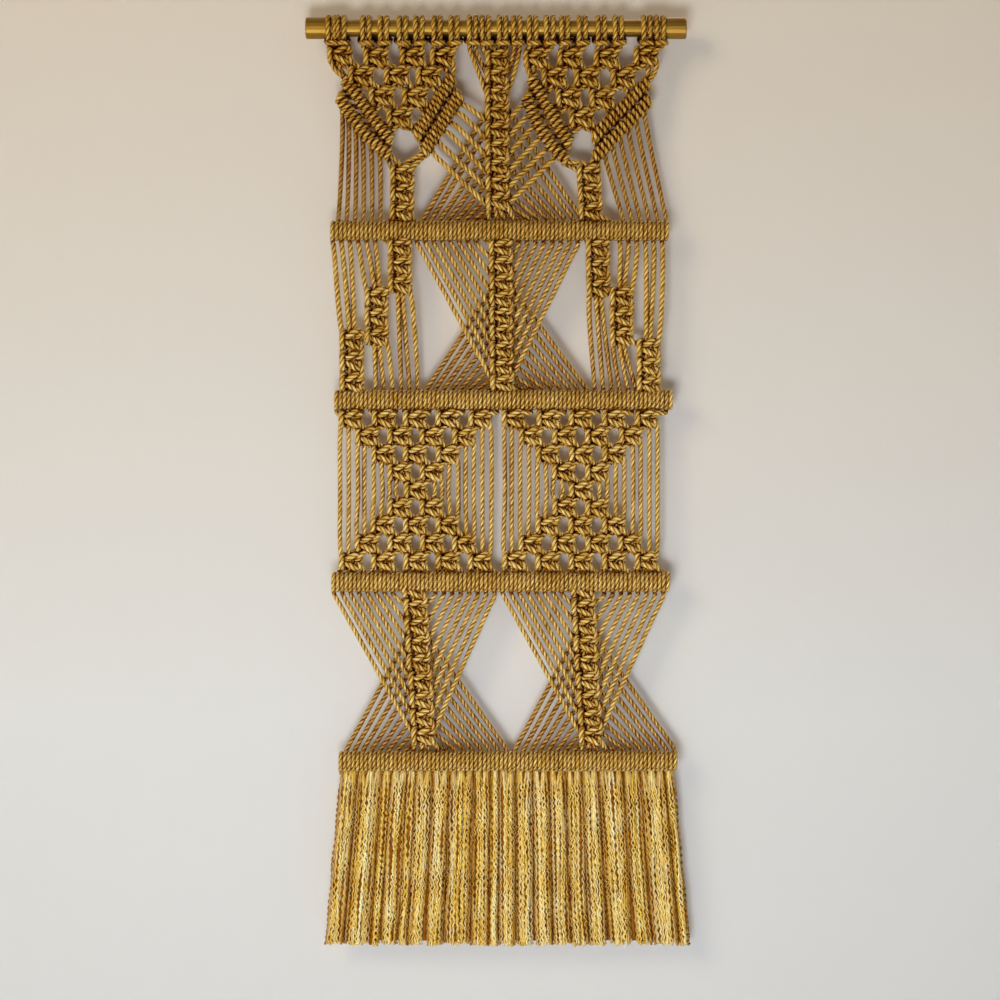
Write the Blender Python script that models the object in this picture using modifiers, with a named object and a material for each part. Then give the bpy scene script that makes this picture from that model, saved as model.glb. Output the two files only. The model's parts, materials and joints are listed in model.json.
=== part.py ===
"""Macrame wall hanging on a turned brass rod.

Forty cords hang as twenty lark's heads from the rod and are knotted downwards
in four sections, each closed by a wrapped horizontal bar:

  section 1  two V-shaped square-knot nets with paired diagonal bars, a long
             centre sinnet, and cords that fan out from behind it
  section 2  three stepped sinnets on each side and a second centre fan
  section 3  two hourglass nets of alternating square knots with side floats
  section 4  two sinnets with a crossing fan each

Below the fourth bar the cords are combed out into a fringe.

Frame: +Z up, +X to the right of the viewer, +Y towards the wall.  The origin
is on the rod's axis at mid-length.  Tables are in millimetres.
"""

import math
from collections import namedtuple

import bmesh
import bpy
from mathutils import Matrix, Vector

MM = 0.001
GAP = 0.3
FLAT_ANGLE = 1.0

# ---------------------------------------------------------------- dimensions
# cord and the places that it takes at a horizontal bar
CORD_RADIUS = 2.2
CORD_SIDES = 3
CORDS = 40
CORD_PITCH = 7.9
PAIR_RADIUS = 3.3
PAIR_REACH = 3.4
FRONT_LAYER = -3.4
BACK_LAYER = 4.4

# rod and its end caps
ROD_RADIUS = 8.0
ROD_SIDES = 20
OVERALL_LENGTH = 355.6
CAP_LENGTH = 18.6
CAP_RADIUS = 10.05
CAP_WALL = 2.0
CAP_CHAMFER = 0.8

# wrapped horizontal bars
BAR_LENGTH = 316.0
BAR_CREST = 9.85
BAR_ROOT = 8.9
BAR_RIDGES = 8
BAR_SKIN = 5.0
BAR_SIDES = 6

# sinnets: columns of square knots, one ridge for each knot or half knot
SINNET_CREST = 7.9
SINNET_ROOT = 6.3
SINNET_SIDES = 6
SINNET_DEPTH = 0.62

# diagonal bars of double half hitches
DIAGONAL_CREST = 6.1
DIAGONAL_ROOT = 5.2
DIAGONAL_RIDGES = 3
DIAGONAL_SIDES = 5
DIAGONAL_DEPTH = 0.9

# lark's heads on the rod: a flat ring with a bulge where the fold crosses it
HEAD_WIDTH = 9.6
HEAD_THICKNESS = 3.4
HEAD_CROWN = 0.6
HEAD_CLEARANCE = 0.5
HEAD_CORNERS = 6
FOLD_SWELL = 1.35
HEAD_END_Z = -10.2
HEAD_LEGS = 2.8

# square-knot nets
KNOT_SIZE = 8.0
KNOT_DEPTH = 0.6
PAIR_SHARE = 0.47
CORD_SHARE = 0.26
ANCHOR_SHARE = 0.42

# fringe
FRINGE_BOTTOM = -860.0
FRINGE_TOP_WIDTH = 311.0
FRINGE_BOTTOM_WIDTH = 343.0
FRINGE_BOTTOM_SHIFT = 0.6
STRIP_HEIGHT = 3.0
STRIP_DEPTH = 9.0
LOCKS = 40
LOCK_SIDES = 4
LOCK_ROWS = (-3.6, 3.6)
LOCK_ROOT_RADIUS = 2.3
LOCK_BODY_RADIUS = 3.3
LOCK_END_RADIUS = 2.9
LOCK_BULGE = 0.45
LOCK_SWAY = 0.4
LOCK_UNEVEN = 1.5
LOCK_TURN = 2.4

# -------------------------------------------------------------------- tables
Bar = namedtuple("Bar", "name x z")
BARS = {
    1: Bar("bar_1", 3.3, -189.4),
    2: Bar("bar_2", 7.0, -347.7),
    3: Bar("bar_3", 4.4, -517.9),
    4: Bar("bar_4", 10.9, -685.6),
}

# lark's heads along the rod, from left to right, in evenly spaced groups
HeadGroup = namedtuple("HeadGroup", "count first_x pitch")
HEAD_GROUPS = (
    HeadGroup(2, -152.2, 10.2),
    HeadGroup(6, -121.5, 16.5),
    HeadGroup(4, -22.0, 13.8),
    HeadGroup(6, 34.0, 16.0),
    HeadGroup(2, 140.0, 11.8),
)
# heads, counted from 0, that begin each V net, the centre sinnet and its fan
NET_FIRST_HEADS = (0, 12)
LEFT_FAN_HEAD = 8
RIGHT_FAN_HEAD = 11
CENTRE_HEADS = (9, 10)

# sinnets: where each starts and ends across, and its knots from the top down
Sinnet = namedtuple("Sinnet", "name x_top x_end z_top knots knot_height")
SINNETS = (
    Sinnet("centre_1", 0.9, 0.9, -17.2, 10, 17.4),
    Sinnet("left_1", -85.2, -88.0, -126.5, 3, 19.0),
    Sinnet("right_1", 88.6, 91.4, -126.5, 3, 19.0),
    Sinnet("centre_2", 4.7, 5.6, -197.0, 9, 15.9),
    Sinnet("left_step_1", -89.5, -88.9, -195.0, 3, 17.6),
    Sinnet("left_step_2", -111.4, -111.4, -242.0, 3, 18.4),
    Sinnet("left_step_3", -134.8, -134.8, -281.0, 3, 20.5),
    Sinnet("right_step_1", 95.5, 96.0, -195.0, 3, 19.0),
    Sinnet("right_step_2", 116.0, 119.0, -242.0, 3, 18.4),
    Sinnet("right_step_3", 142.3, 142.6, -290.5, 3, 17.3),
    Sinnet("left_4", -76.2, -67.6, -515.6, 10, 17.7),
    Sinnet("right_4", 81.0, 88.6, -515.6, 10, 17.7),
)

# the paired diagonal bars under each V net: outer end, then inner lower end
Diagonal = namedtuple("Diagonal", "x_outer z_outer x_inner z_inner")
DIAGONALS = {
    "left_outer_upper": Diagonal(-138.5, -50.1, -97.3, -106.7),
    "left_outer_lower": Diagonal(-144.1, -65.1, -100.2, -121.2),
    "left_inner_upper": Diagonal(-43.5, -47.3, -74.9, -101.6),
    "left_inner_lower": Diagonal(-33.7, -62.2, -66.5, -116.5),
    "right_inner_upper": Diagonal(35.6, -49.1, 69.3, -110.0),
    "right_inner_lower": Diagonal(28.1, -62.2, 62.7, -124.0),
    "right_outer_upper": Diagonal(139.5, -53.8, 90.8, -102.5),
    "right_outer_lower": Diagonal(140.9, -69.7, 90.8, -122.6),
}

# places along a pair of diagonal bars where a cord is drawn between the two
ARM_TIES = (0.2, 0.85)

# V nets: rows of 4, 3, 2 and 1 knots that close on two upper diagonal bars
VNet = namedtuple("VNet", "name x_first drift half_pitch z_first row_pitch left_arm right_arm")
V_NETS = (
    VNet("left_v", -97.4, 2.4, 15.9, -26.2, 18.8, "left_outer_upper", "left_inner_upper"),
    VNet("right_v", 88.0, -2.4, 16.3, -26.8, 18.8, "right_inner_upper", "right_outer_upper"),
)
V_ROWS = 4
V_ANCHOR_FIRST = 0.05
V_ANCHOR_STEP = 0.29

# hourglass nets: 5, 4, 3, 2, 1, 2, 3, 4, 5 knots between the second and third bars
Hourglass = namedtuple("Hourglass", "name x half_pitch z_first row_pitch")
HOURGLASSES = (
    Hourglass("left_hourglass", -75.4, 15.1, -364.9, 16.7),
    Hourglass("right_hourglass", 79.0, 15.5, -364.9, 16.7),
)
HOURGLASS_WAIST = 4

# the pair of cords that hangs free beside each outer knot of an hourglass net
FLOAT_OUTER = 9.3
FLOAT_INNER = 1.2
FLOAT_TURN = 11.5

# long floats between a lower diagonal bar and bar 1, the outermost one first
LongFloats = namedtuple("LongFloats", "diagonal x_first x_pitch")
LONG_FLOATS = (
    LongFloats("left_outer_lower", -149.3, 8.3),
    LongFloats("right_outer_lower", 153.5, -9.1),
)
LONG_FLOAT_COUNT = 6
LONG_FLOAT_FIRST = 0.06
LONG_FLOAT_STEP = 0.175
LONG_FLOAT_LEAN = 2.1

# crossing fans: eight cords from each side pass behind a sinnet, one at a knot
Fan = namedtuple("Fan", "sinnet first_cord from_bar to_bar")
FAN_CORDS = 8
FAN_HALF_SPAN = 9.5
FAN_FIRST_OFFSET = 2.5
FAN_ARM_FIRST = 0.1
FAN_ARM_STEP = 0.17
FAN_FRONT_REACH = 3.2
FAN_FRONT_Y = -2.1
FAN_BACK_REACH = -3.0
FAN_BACK_Y = 2.1
FANS = (
    Fan("centre_1", 10, 0, 1),
    Fan("centre_2", 10, 1, 2),
    Fan("left_4", 0, 3, 4),
    Fan("right_4", 20, 3, 4),
)

# free cords of the stepped sinnets: their spread and lean where they meet one,
# how deep they end in it, and the stouter pair that runs from one to the next
STEP_SPREAD = 4.6
STEP_LEAN = 1.5
STEP_SINK = 3.5
STEP_LINK_REACH = 4.3
STEP_LINK_RADIUS = 2.6


# ------------------------------------------------------------------- helpers
def clear_scene():
    for obj in list(bpy.data.objects):
        bpy.data.objects.remove(obj)


def new_collection(name, helper=False):
    collection = bpy.data.collections.new(name)
    bpy.context.scene.collection.children.link(collection)
    collection.hide_render = helper
    return collection


def material(name, colour, roughness, metallic=0.0):
    mat = bpy.data.materials.new(name)
    mat.use_nodes = True
    shader = mat.node_tree.nodes["Principled BSDF"]
    shader.inputs["Base Color"].default_value = (*colour, 1.0)
    shader.inputs["Roughness"].default_value = roughness
    shader.inputs["Metallic"].default_value = metallic
    return mat


def mm(x, y, z):
    return Vector((x, y, z)) * MM


def add_object(name, data, collection):
    obj = bpy.data.objects.new(name, data)
    collection.objects.link(obj)
    return obj


def as_helper(obj):
    obj.hide_render = True
    obj.display_type = "WIRE"
    return obj


def turned(name, profile, sides, collection):
    """A closed profile of (radius, height) turned about the local Z axis."""
    mesh = bpy.data.meshes.new(name)
    points = [(r * MM, 0.0, h * MM) for r, h in profile]
    edges = [(i, i + 1) for i in range(len(points) - 1)]
    if profile[0][0] > 0.0:
        edges.append((len(points) - 1, 0))
    mesh.from_pydata(points, edges, [])
    obj = add_object(name, mesh, collection)
    screw = obj.modifiers.new("Turn", "SCREW")
    screw.axis = "Z"
    screw.angle = math.tau
    screw.steps = sides
    screw.render_steps = sides
    screw.use_merge_vertices = True
    screw.merge_threshold = 0.00001
    return obj


def along(start, end):
    """Matrix whose local Z runs from start to end, local Y towards the wall."""
    axis = (end - start).normalized()
    depth = Vector((0.0, 1.0, 0.0))
    side = depth.cross(axis).normalized()
    depth = axis.cross(side)
    rotation = Matrix((side, depth, axis)).transposed().to_4x4()
    return Matrix.Translation(start) @ rotation


def ridged_roll(name, start, end, crest, root, ridges, sides, depth, collection):
    """A roll of wraps or knots between two points, one ridge for each group."""
    length = (end - start).length / MM
    step = length / ridges
    profile = [(0.0, length), (root, length)]
    for ridge in reversed(range(ridges)):
        profile.append((crest, (ridge + 0.5) * step))
        profile.append((root, ridge * step))
    profile.append((0.0, 0.0))
    obj = turned(name, profile, sides, collection)
    obj.matrix_world = along(start, end) @ Matrix.Diagonal((1.0, depth, 1.0, 1.0))
    return as_helper(obj)


def flat_section(name, outline, collection):
    """A closed flat curve, in millimetres, that a cord's curve is swept with."""
    section = bpy.data.curves.new(name, "CURVE")
    section.dimensions = "2D"
    spline = section.splines.new("POLY")
    spline.points.add(len(outline) - 1)
    for point, (x, y) in zip(spline.points, outline):
        point.co = (x * MM, y * MM, 0.0, 1.0)
    spline.use_cyclic_u = True
    return as_helper(add_object(name, section, collection))


def round_section(name, sides, collection):
    """A section of unit radius with few sides, its first corner in front."""
    turns = [math.tau * index / sides for index in range(sides)]
    outline = [(math.sin(turn), math.cos(turn)) for turn in turns]
    return flat_section(name, outline, collection)


def cords_mesh(name, cords, sides, collection):
    """Straight or bent cords as few-sided tubes, all in one mesh object.

    Each cord is a list of (point, radius) pairs in millimetres.
    """
    section = round_section(name + "_section", sides, collection)
    curve = bpy.data.curves.new(name, "CURVE")
    curve.dimensions = "3D"
    curve.bevel_mode = "OBJECT"
    curve.bevel_object = section
    curve.use_fill_caps = True
    curve.twist_mode = "Z_UP"
    for cord in cords:
        spline = curve.splines.new("POLY")
        spline.points.add(len(cord) - 1)
        for point, (place, radius) in zip(spline.points, cord):
            point.co = (*mm(*place), 1.0)
            point.radius = radius
    guide = add_object(name + "_guide", curve, collection)
    depsgraph = bpy.context.evaluated_depsgraph_get()
    mesh = bpy.data.meshes.new_from_object(guide.evaluated_get(depsgraph))
    sheet = bmesh.new()
    sheet.from_mesh(mesh)
    bmesh.ops.remove_doubles(sheet, verts=sheet.verts, dist=0.00001)
    sheet.to_mesh(mesh)
    sheet.free()
    obj = add_object(name, mesh, collection)
    obj.matrix_world = guide.matrix_world
    bpy.data.objects.remove(guide)
    bpy.data.objects.remove(section)
    return as_helper(obj)


def cord(start, end, radius=CORD_RADIUS):
    return [(start, radius), (end, radius)]


def bar_place(bar, cord_index, depth, above=False):
    """Where a cord ends just inside a horizontal bar's lower or upper skin."""
    row = BARS[bar]
    x = row.x + (cord_index - (CORDS - 1) / 2) * CORD_PITCH
    return (x, depth, row.z + (BAR_SKIN if above else -BAR_SKIN))


def lerp(a, b, share):
    return a + (b - a) * share


def on_diagonal(name, share, depth=0.0):
    row = DIAGONALS[name]
    x = lerp(row.x_outer, row.x_inner, share)
    return (x, depth, lerp(row.z_outer, row.z_inner, share))


def sinnet_z(row, knots_down):
    return row.z_top - knots_down * row.knot_height


def sinnet_x(row, knots_down):
    return lerp(row.x_top, row.x_end, knots_down / row.knots)


def named_sinnet(name):
    return next(row for row in SINNETS if row.name == name)


# ---------------------------------------------------------------- brass rod
def build_rod(collection, brass):
    length = OVERALL_LENGTH - 2 * (CAP_WALL + GAP)
    bpy.ops.mesh.primitive_cylinder_add(
        vertices=ROD_SIDES, radius=ROD_RADIUS * MM, depth=length * MM)
    rod = bpy.context.active_object
    rod.name = "rod"
    rod.rotation_euler = (0.0, math.pi / 2, 0.0)
    for home in list(rod.users_collection):
        home.objects.unlink(rod)
    collection.objects.link(rod)
    rod.data.shade_smooth()
    rod.data.set_sharp_from_angle(angle=math.radians(35))
    rod.data.materials.append(brass)
    return rod


def build_cap(name, side, collection, brass):
    """A cup that slips over the rod's end; local Z points outwards."""
    bore = ROD_RADIUS + GAP
    profile = (
        (0.0, CAP_LENGTH),
        (CAP_RADIUS - CAP_CHAMFER, CAP_LENGTH),
        (CAP_RADIUS, CAP_LENGTH - CAP_CHAMFER),
        (CAP_RADIUS, 0.0),
        (bore, 0.0),
        (bore, CAP_LENGTH - CAP_WALL),
        (0.0, CAP_LENGTH - CAP_WALL),
    )
    cap = turned(name, profile, ROD_SIDES, collection)
    inner_end = OVERALL_LENGTH / 2 - CAP_LENGTH
    cap.location = mm(side * inner_end, 0.0, 0.0)
    cap.rotation_euler = (0.0, side * math.pi / 2, 0.0)
    cap.data.materials.append(brass)
    return cap


# -------------------------------------------------------------- lark's heads
def head_places():
    places = []
    for group in HEAD_GROUPS:
        for index in range(group.count):
            places.append(group.first_x + index * group.pitch)
    return places


def build_heads(collection):
    """A flat ring over the rod for each head, swollen where its fold crosses."""
    across = HEAD_WIDTH / 2
    crown = across * HEAD_CROWN
    through = HEAD_THICKNESS / 2
    outline = ((-across, through), (across, through), (crown, -through), (-crown, -through))
    section = flat_section("head_section", outline, collection)
    inner = (ROD_RADIUS + HEAD_CLEARANCE) / math.cos(math.pi / HEAD_CORNERS)
    curve = bpy.data.curves.new("head", "CURVE")
    curve.dimensions = "3D"
    curve.bevel_mode = "OBJECT"
    curve.bevel_object = section
    curve.twist_mode = "MINIMUM"
    spline = curve.splines.new("POLY")
    spline.points.add(HEAD_CORNERS - 1)
    for index, point in enumerate(spline.points):
        swell = FOLD_SWELL if index == 0 else 1.0
        radius = (inner + HEAD_THICKNESS / 2 * swell) * MM
        turn = math.tau * (index + 0.5) / HEAD_CORNERS
        point.co = (0.0, -radius * math.sin(turn), -radius * math.cos(turn), 1.0)
        point.radius = swell
    spline.use_cyclic_u = True
    guide = add_object("head_guide", curve, collection)
    depsgraph = bpy.context.evaluated_depsgraph_get()
    mesh = bpy.data.meshes.new_from_object(guide.evaluated_get(depsgraph))
    bpy.data.objects.remove(guide)
    bpy.data.objects.remove(section)
    for index, x in enumerate(head_places()):
        ring = add_object(f"head_{index + 1:02d}", mesh, collection)
        ring.location = mm(x, 0.0, 0.0)
        as_helper(ring)


# ---------------------------------------------------------- square-knot nets
class Lattice:
    """A flat graph of knots and cord pairs, turned into struts by Wireframe."""

    def __init__(self):
        self.points = []
        self.shares = []
        self.faces = []
        self.middles = {}

    def point(self, x, z, share):
        self.points.append(tuple(mm(x, 0.0, z)))
        self.shares.append(share)
        return len(self.points) - 1

    def middle(self, a, b):
        """The waist half way along a pair of cords between two knots."""
        key = (min(a, b), max(a, b))
        if key not in self.middles:
            co = (Vector(self.points[a]) + Vector(self.points[b])) / 2
            self.middles[key] = self.point(co.x / MM, co.z / MM, PAIR_SHARE)
        return self.middles[key]

    def face(self, corners, waisted=()):
        """A gap's outline; waisted lists the corners whose next edge has a waist."""
        outline = []
        for index, corner in enumerate(corners):
            outline.append(corner)
            if index in waisted:
                outline.append(self.middle(corner, corners[(index + 1) % len(corners)]))
        self.faces.append(outline)

    def build(self, name, collection):
        mesh = bpy.data.meshes.new(name)
        mesh.from_pydata(self.points, [], self.faces)
        obj = add_object(name, mesh, collection)
        group = obj.vertex_groups.new(name="thickness")
        for index, share in enumerate(self.shares):
            group.add([index], share, "REPLACE")
        frame = obj.modifiers.new("Struts", "WIREFRAME")
        frame.thickness = 2 * KNOT_SIZE * MM
        frame.offset = 0.0
        frame.use_even_offset = False
        frame.use_boundary = True
        frame.use_replace = True
        frame.vertex_group = "thickness"
        frame.thickness_vertex_group = 0.0
        obj.scale = (1.0, KNOT_DEPTH, 1.0)
        return as_helper(obj)


def build_v_net(row, collection):
    """Knots are keyed by (place across in half pitches, row from the top)."""
    lattice = Lattice()
    knots = {}
    for level in range(V_ROWS):
        centre = row.x_first + row.drift * level
        span = V_ROWS - 1 - level
        for place in range(-span, span + 1, 2):
            x = centre + place * row.half_pitch
            knots[place, level] = lattice.point(x, row.z_first - row.row_pitch * level, 1.0)
    left = []
    right = []
    for level in range(V_ROWS):
        share = V_ANCHOR_FIRST + V_ANCHOR_STEP * level
        x, _, z = on_diagonal(row.left_arm, share)
        left.append(lattice.point(x, z, ANCHOR_SHARE))
        x, _, z = on_diagonal(row.right_arm, share)
        right.append(lattice.point(x, z, ANCHOR_SHARE))
    for level in range(1, V_ROWS - 1):
        span = V_ROWS - 1 - level
        for place in range(-span + 1, span, 2):
            gap = (
                knots[place, level - 1],
                knots[place + 1, level],
                knots[place, level + 1],
                knots[place - 1, level],
            )
            lattice.face(gap, (0, 1, 2, 3))
    for level in range(V_ROWS - 1):
        span = V_ROWS - 1 - level
        upper = knots[-span, level]
        lower = knots[-span + 1, level + 1]
        lattice.face((upper, lower, left[level + 1], left[level]), (0,))
        upper = knots[span, level]
        lower = knots[span - 1, level + 1]
        lattice.face((upper, right[level], right[level + 1], lower), (3,))
    lattice.build(row.name, collection)


def build_hourglass(row, collection):
    """Nine rows of knots, anchors in the bars above and below, side floats."""
    lattice = Lattice()
    knots = {}
    waist = HOURGLASS_WAIST
    last = 2 * waist
    for level in range(last + 1):
        span = abs(waist - level)
        z = row.z_first - row.row_pitch * level
        for place in range(-span, span + 1, 2):
            x = row.x + place * row.half_pitch
            knots[place, level] = lattice.point(x, z, 1.0)
    upper_bar = {}
    lower_bar = {}
    for place in range(-waist, waist + 1, 2):
        x = row.x + place * row.half_pitch
        upper_bar[place] = lattice.point(x, BARS[2].z, ANCHOR_SHARE)
        lower_bar[place] = lattice.point(x, BARS[3].z, ANCHOR_SHARE)
    for level in range(1, last):
        span = abs(waist - level)
        for place in range(-span + 1, span, 2):
            gap = (
                knots[place, level - 1],
                knots[place + 1, level],
                knots[place, level + 1],
                knots[place - 1, level],
            )
            lattice.face(gap, (0, 1, 2, 3))
    for place in range(-waist, waist, 2):
        top = (
            upper_bar[place],
            upper_bar[place + 2],
            knots[place + 2, 0],
            knots[place + 1, 1],
            knots[place, 0],
        )
        lattice.face(top, (2, 3))
        bottom = (
            lower_bar[place + 2],
            lower_bar[place],
            knots[place, last],
            knots[place + 1, last - 1],
            knots[place + 2, last],
        )
        lattice.face(bottom, (2, 3))
    for side in (-1, 1):
        build_side_floats(lattice, knots, side, row)
    lattice.build(row.name, collection)


def build_side_floats(lattice, knots, side, row):
    """Pairs that hang free beside the waist, and the gaps between them."""
    waist = HOURGLASS_WAIST
    last = 2 * waist
    inner_run = None
    for level in range(waist):
        place = side * (waist - level)
        top = knots[place, level]
        bottom = knots[place, last - level]
        x = row.x + place * row.half_pitch
        z_top = row.z_first - row.row_pitch * level - FLOAT_TURN
        z_bottom = row.z_first - row.row_pitch * (last - level) + FLOAT_TURN
        x_outer = x + side * FLOAT_OUTER
        x_inner = x + side * FLOAT_INNER
        outer = (
            lattice.point(x_outer, z_top, CORD_SHARE),
            lattice.point(x_outer, z_bottom, CORD_SHARE),
        )
        inner = (
            lattice.point(x_inner, z_top, CORD_SHARE),
            lattice.point(x_inner, z_bottom, CORD_SHARE),
        )
        pair_gap = [top, *inner, bottom, *reversed(outer)]
        if side > 0:
            pair_gap.reverse()
        lattice.face(pair_gap)
        if inner_run:
            before_top, before_inner, before_bottom = inner_run
            gap = [before_top, top, *outer, bottom, before_bottom, *reversed(before_inner)]
            waisted = (0, 4)
            if side > 0:
                gap.reverse()
                waisted = (2, 6)
            lattice.face(gap, waisted)
        inner_run = (top, inner, bottom)
    top, inner, bottom = inner_run
    centre = knots[0, waist]
    gap = [top, centre, bottom, *reversed(inner)]
    waisted = (0, 1)
    if side > 0:
        gap.reverse()
        waisted = (2, 3)
    lattice.face(gap, waisted)


# --------------------------------------------------------------- free cords
def fan_start(fan, side, rank):
    """Where a fan's front cord begins; rank 0 is nearest the sinnet."""
    middle = fan.first_cord + FAN_HALF_SPAN
    index = middle + side * (FAN_FIRST_OFFSET + rank)
    if fan.from_bar:
        return bar_place(fan.from_bar, index, FRONT_LAYER)
    if rank < 2:
        head = LEFT_FAN_HEAD if side < 0 else RIGHT_FAN_HEAD
        x = head_places()[head] + side * HEAD_LEGS * (2 * rank - 1)
        return (x, FRONT_LAYER, HEAD_END_Z)
    name = "left_inner_lower" if side < 0 else "right_inner_lower"
    return on_diagonal(name, FAN_ARM_FIRST + (rank - 2) * FAN_ARM_STEP, FRONT_LAYER / 2)


def build_fans(collection):
    front = []
    back = {-1: [], 1: []}
    for fan in FANS:
        sinnet = named_sinnet(fan.sinnet)
        for rank in range(FAN_CORDS):
            x = sinnet_x(sinnet, rank + 1.5)
            z = sinnet_z(sinnet, rank + 1.5)
            for side in (-1, 1):
                start = fan_start(fan, side, rank)
                front.append(cord(start, (x + side * FAN_FRONT_REACH, FAN_FRONT_Y, z)))
                target = fan.first_cord + FAN_HALF_SPAN - side * (FAN_HALF_SPAN - rank)
                end = bar_place(fan.to_bar, target, BACK_LAYER, above=True)
                back[side].append(cord((x + side * FAN_BACK_REACH, FAN_BACK_Y, z), end))
    cords_mesh("fan_front", front, CORD_SIDES, collection)
    cords_mesh("fan_back_left", back[-1], CORD_SIDES, collection)
    cords_mesh("fan_back_right", back[1], CORD_SIDES, collection)


def build_section_1_cords(collection):
    """Pairs from the heads to the V nets, and the long floats below them."""
    cords = []
    heads = head_places()
    for net, first_head in zip(V_NETS, NET_FIRST_HEADS):
        for place in range(V_ROWS):
            x_knot = net.x_first + (2 * place - V_ROWS + 1) * net.half_pitch
            for step, side in ((0, -1), (1, 1)):
                x_head = heads[first_head + 2 * place + step]
                start = (x_head, FRONT_LAYER, HEAD_END_Z)
                end = (x_knot + side * PAIR_REACH, -1.0, net.z_first + 1.0)
                cords.append(cord(start, end, PAIR_RADIUS))
    middle = named_sinnet("centre_1")
    for head, side in zip(CENTRE_HEADS, (-1, 1)):
        start = (heads[head], FRONT_LAYER, HEAD_END_Z)
        end = (middle.x_top + side * PAIR_REACH, -1.0, middle.z_top - 5.0)
        cords.append(cord(start, end, PAIR_RADIUS))
    for row in LONG_FLOATS:
        side = math.copysign(1.0, row.x_first)
        for index in range(LONG_FLOAT_COUNT):
            share = LONG_FLOAT_FIRST + LONG_FLOAT_STEP * index
            x, y, z = on_diagonal(row.diagonal, share, FRONT_LAYER / 2)
            start = (x + side * LONG_FLOAT_LEAN, y, z - LONG_FLOAT_LEAN)
            end = (row.x_first + row.x_pitch * index, FRONT_LAYER, BARS[1].z + BAR_SKIN)
            cords.append(cord(start, end))
    for side, word in ((-1, "left"), (1, "right")):
        sinnet = named_sinnet(f"{word}_1")
        for arm in ("outer", "inner"):
            start = on_diagonal(f"{word}_{arm}_lower", 0.93)
            lean = side if arm == "outer" else -side
            end = (sinnet.x_top + lean * PAIR_REACH, 0.0, sinnet.z_top - 6.0)
            cords.append(cord(start, end, PAIR_RADIUS))
            for share in ARM_TIES:
                upper = on_diagonal(f"{word}_{arm}_upper", share)
                lower = on_diagonal(f"{word}_{arm}_lower", share)
                cords.append(cord(upper, lower))
    cords_mesh("section_1_cords", cords, CORD_SIDES, collection)


def build_section_2_cords(collection):
    """Floats above and below the stepped sinnets on both sides."""
    cords = []
    for side, word in ((-1, "left"), (1, "right")):
        steps = [named_sinnet(f"{word}_step_{number}") for number in (1, 2, 3)]
        for number, sinnet in enumerate(steps):
            innermost = 9 - 3 * number
            for rank in range(3):
                index = innermost - rank
                above = index - 1
                spread = side * (rank - 1) * STEP_SPREAD
                z_end = sinnet_z(sinnet, sinnet.knots)
                if number > 0:
                    start = bar_place(1, above if side < 0 else CORDS - 1 - above, FRONT_LAYER)
                    x = sinnet.x_top + spread + side * STEP_LEAN
                    end = (x, 0.0, sinnet.z_top - STEP_SINK)
                    cords.append(cord(start, end))
                if number < 2:
                    x = sinnet.x_end + spread - side * STEP_LEAN
                    start = (x, 0.0, z_end + STEP_SINK)
                    place = index if side < 0 else CORDS - 1 - index
                    cords.append(cord(start, bar_place(2, place, FRONT_LAYER, above=True)))
        for upper, lower in zip(steps, steps[1:]):
            z_start = sinnet_z(upper, upper.knots) + STEP_SINK
            start = (upper.x_end + side * STEP_LINK_REACH, 0.0, z_start)
            end = (lower.x_top - side * STEP_LINK_REACH, 0.0, lower.z_top - STEP_SINK)
            cords.append(cord(start, end, STEP_LINK_RADIUS))
    cords_mesh("section_2_cords", cords, CORD_SIDES, collection)


# ------------------------------------------------------------- knotted panel
def build_bar(row, collection):
    half = BAR_LENGTH / 2
    start = mm(row.x - half, 0.0, row.z)
    end = mm(row.x + half, 0.0, row.z)
    return ridged_roll(
        row.name, start, end, BAR_CREST, BAR_ROOT, BAR_RIDGES, BAR_SIDES, 1.0, collection)


def build_panel(collection, pieces, cotton):
    """All cords and knots as one body: the pieces are united with bar 1."""
    for number in (2, 3, 4):
        build_bar(BARS[number], pieces)
    for row in SINNETS:
        start = mm(row.x_top, 0.0, row.z_top)
        end = mm(row.x_end, 0.0, sinnet_z(row, row.knots))
        ridged_roll(row.name, start, end, SINNET_CREST, SINNET_ROOT, row.knots,
                    SINNET_SIDES, SINNET_DEPTH, pieces)
    for name, row in DIAGONALS.items():
        start = mm(row.x_outer, 0.0, row.z_outer)
        end = mm(row.x_inner, 0.0, row.z_inner)
        ridged_roll(name, start, end, DIAGONAL_CREST, DIAGONAL_ROOT, DIAGONAL_RIDGES,
                    DIAGONAL_SIDES, DIAGONAL_DEPTH, pieces)
    build_heads(pieces)
    for row in V_NETS:
        build_v_net(row, pieces)
    for row in HOURGLASSES:
        build_hourglass(row, pieces)
    build_fans(pieces)
    build_section_1_cords(pieces)
    build_section_2_cords(pieces)

    panel = build_bar(BARS[1], collection)
    panel.name = "knotted_panel"
    panel.hide_render = False
    panel.display_type = "TEXTURED"
    union = panel.modifiers.new("Knotting", "BOOLEAN")
    union.operation = "UNION"
    union.operand_type = "COLLECTION"
    union.collection = pieces
    union.solver = "EXACT"
    union.use_self = True
    flats = panel.modifiers.new("Join flats", "DECIMATE")
    flats.decimate_type = "DISSOLVE"
    flats.angle_limit = math.radians(FLAT_ANGLE)
    panel.data.materials.append(cotton)
    return panel


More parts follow.
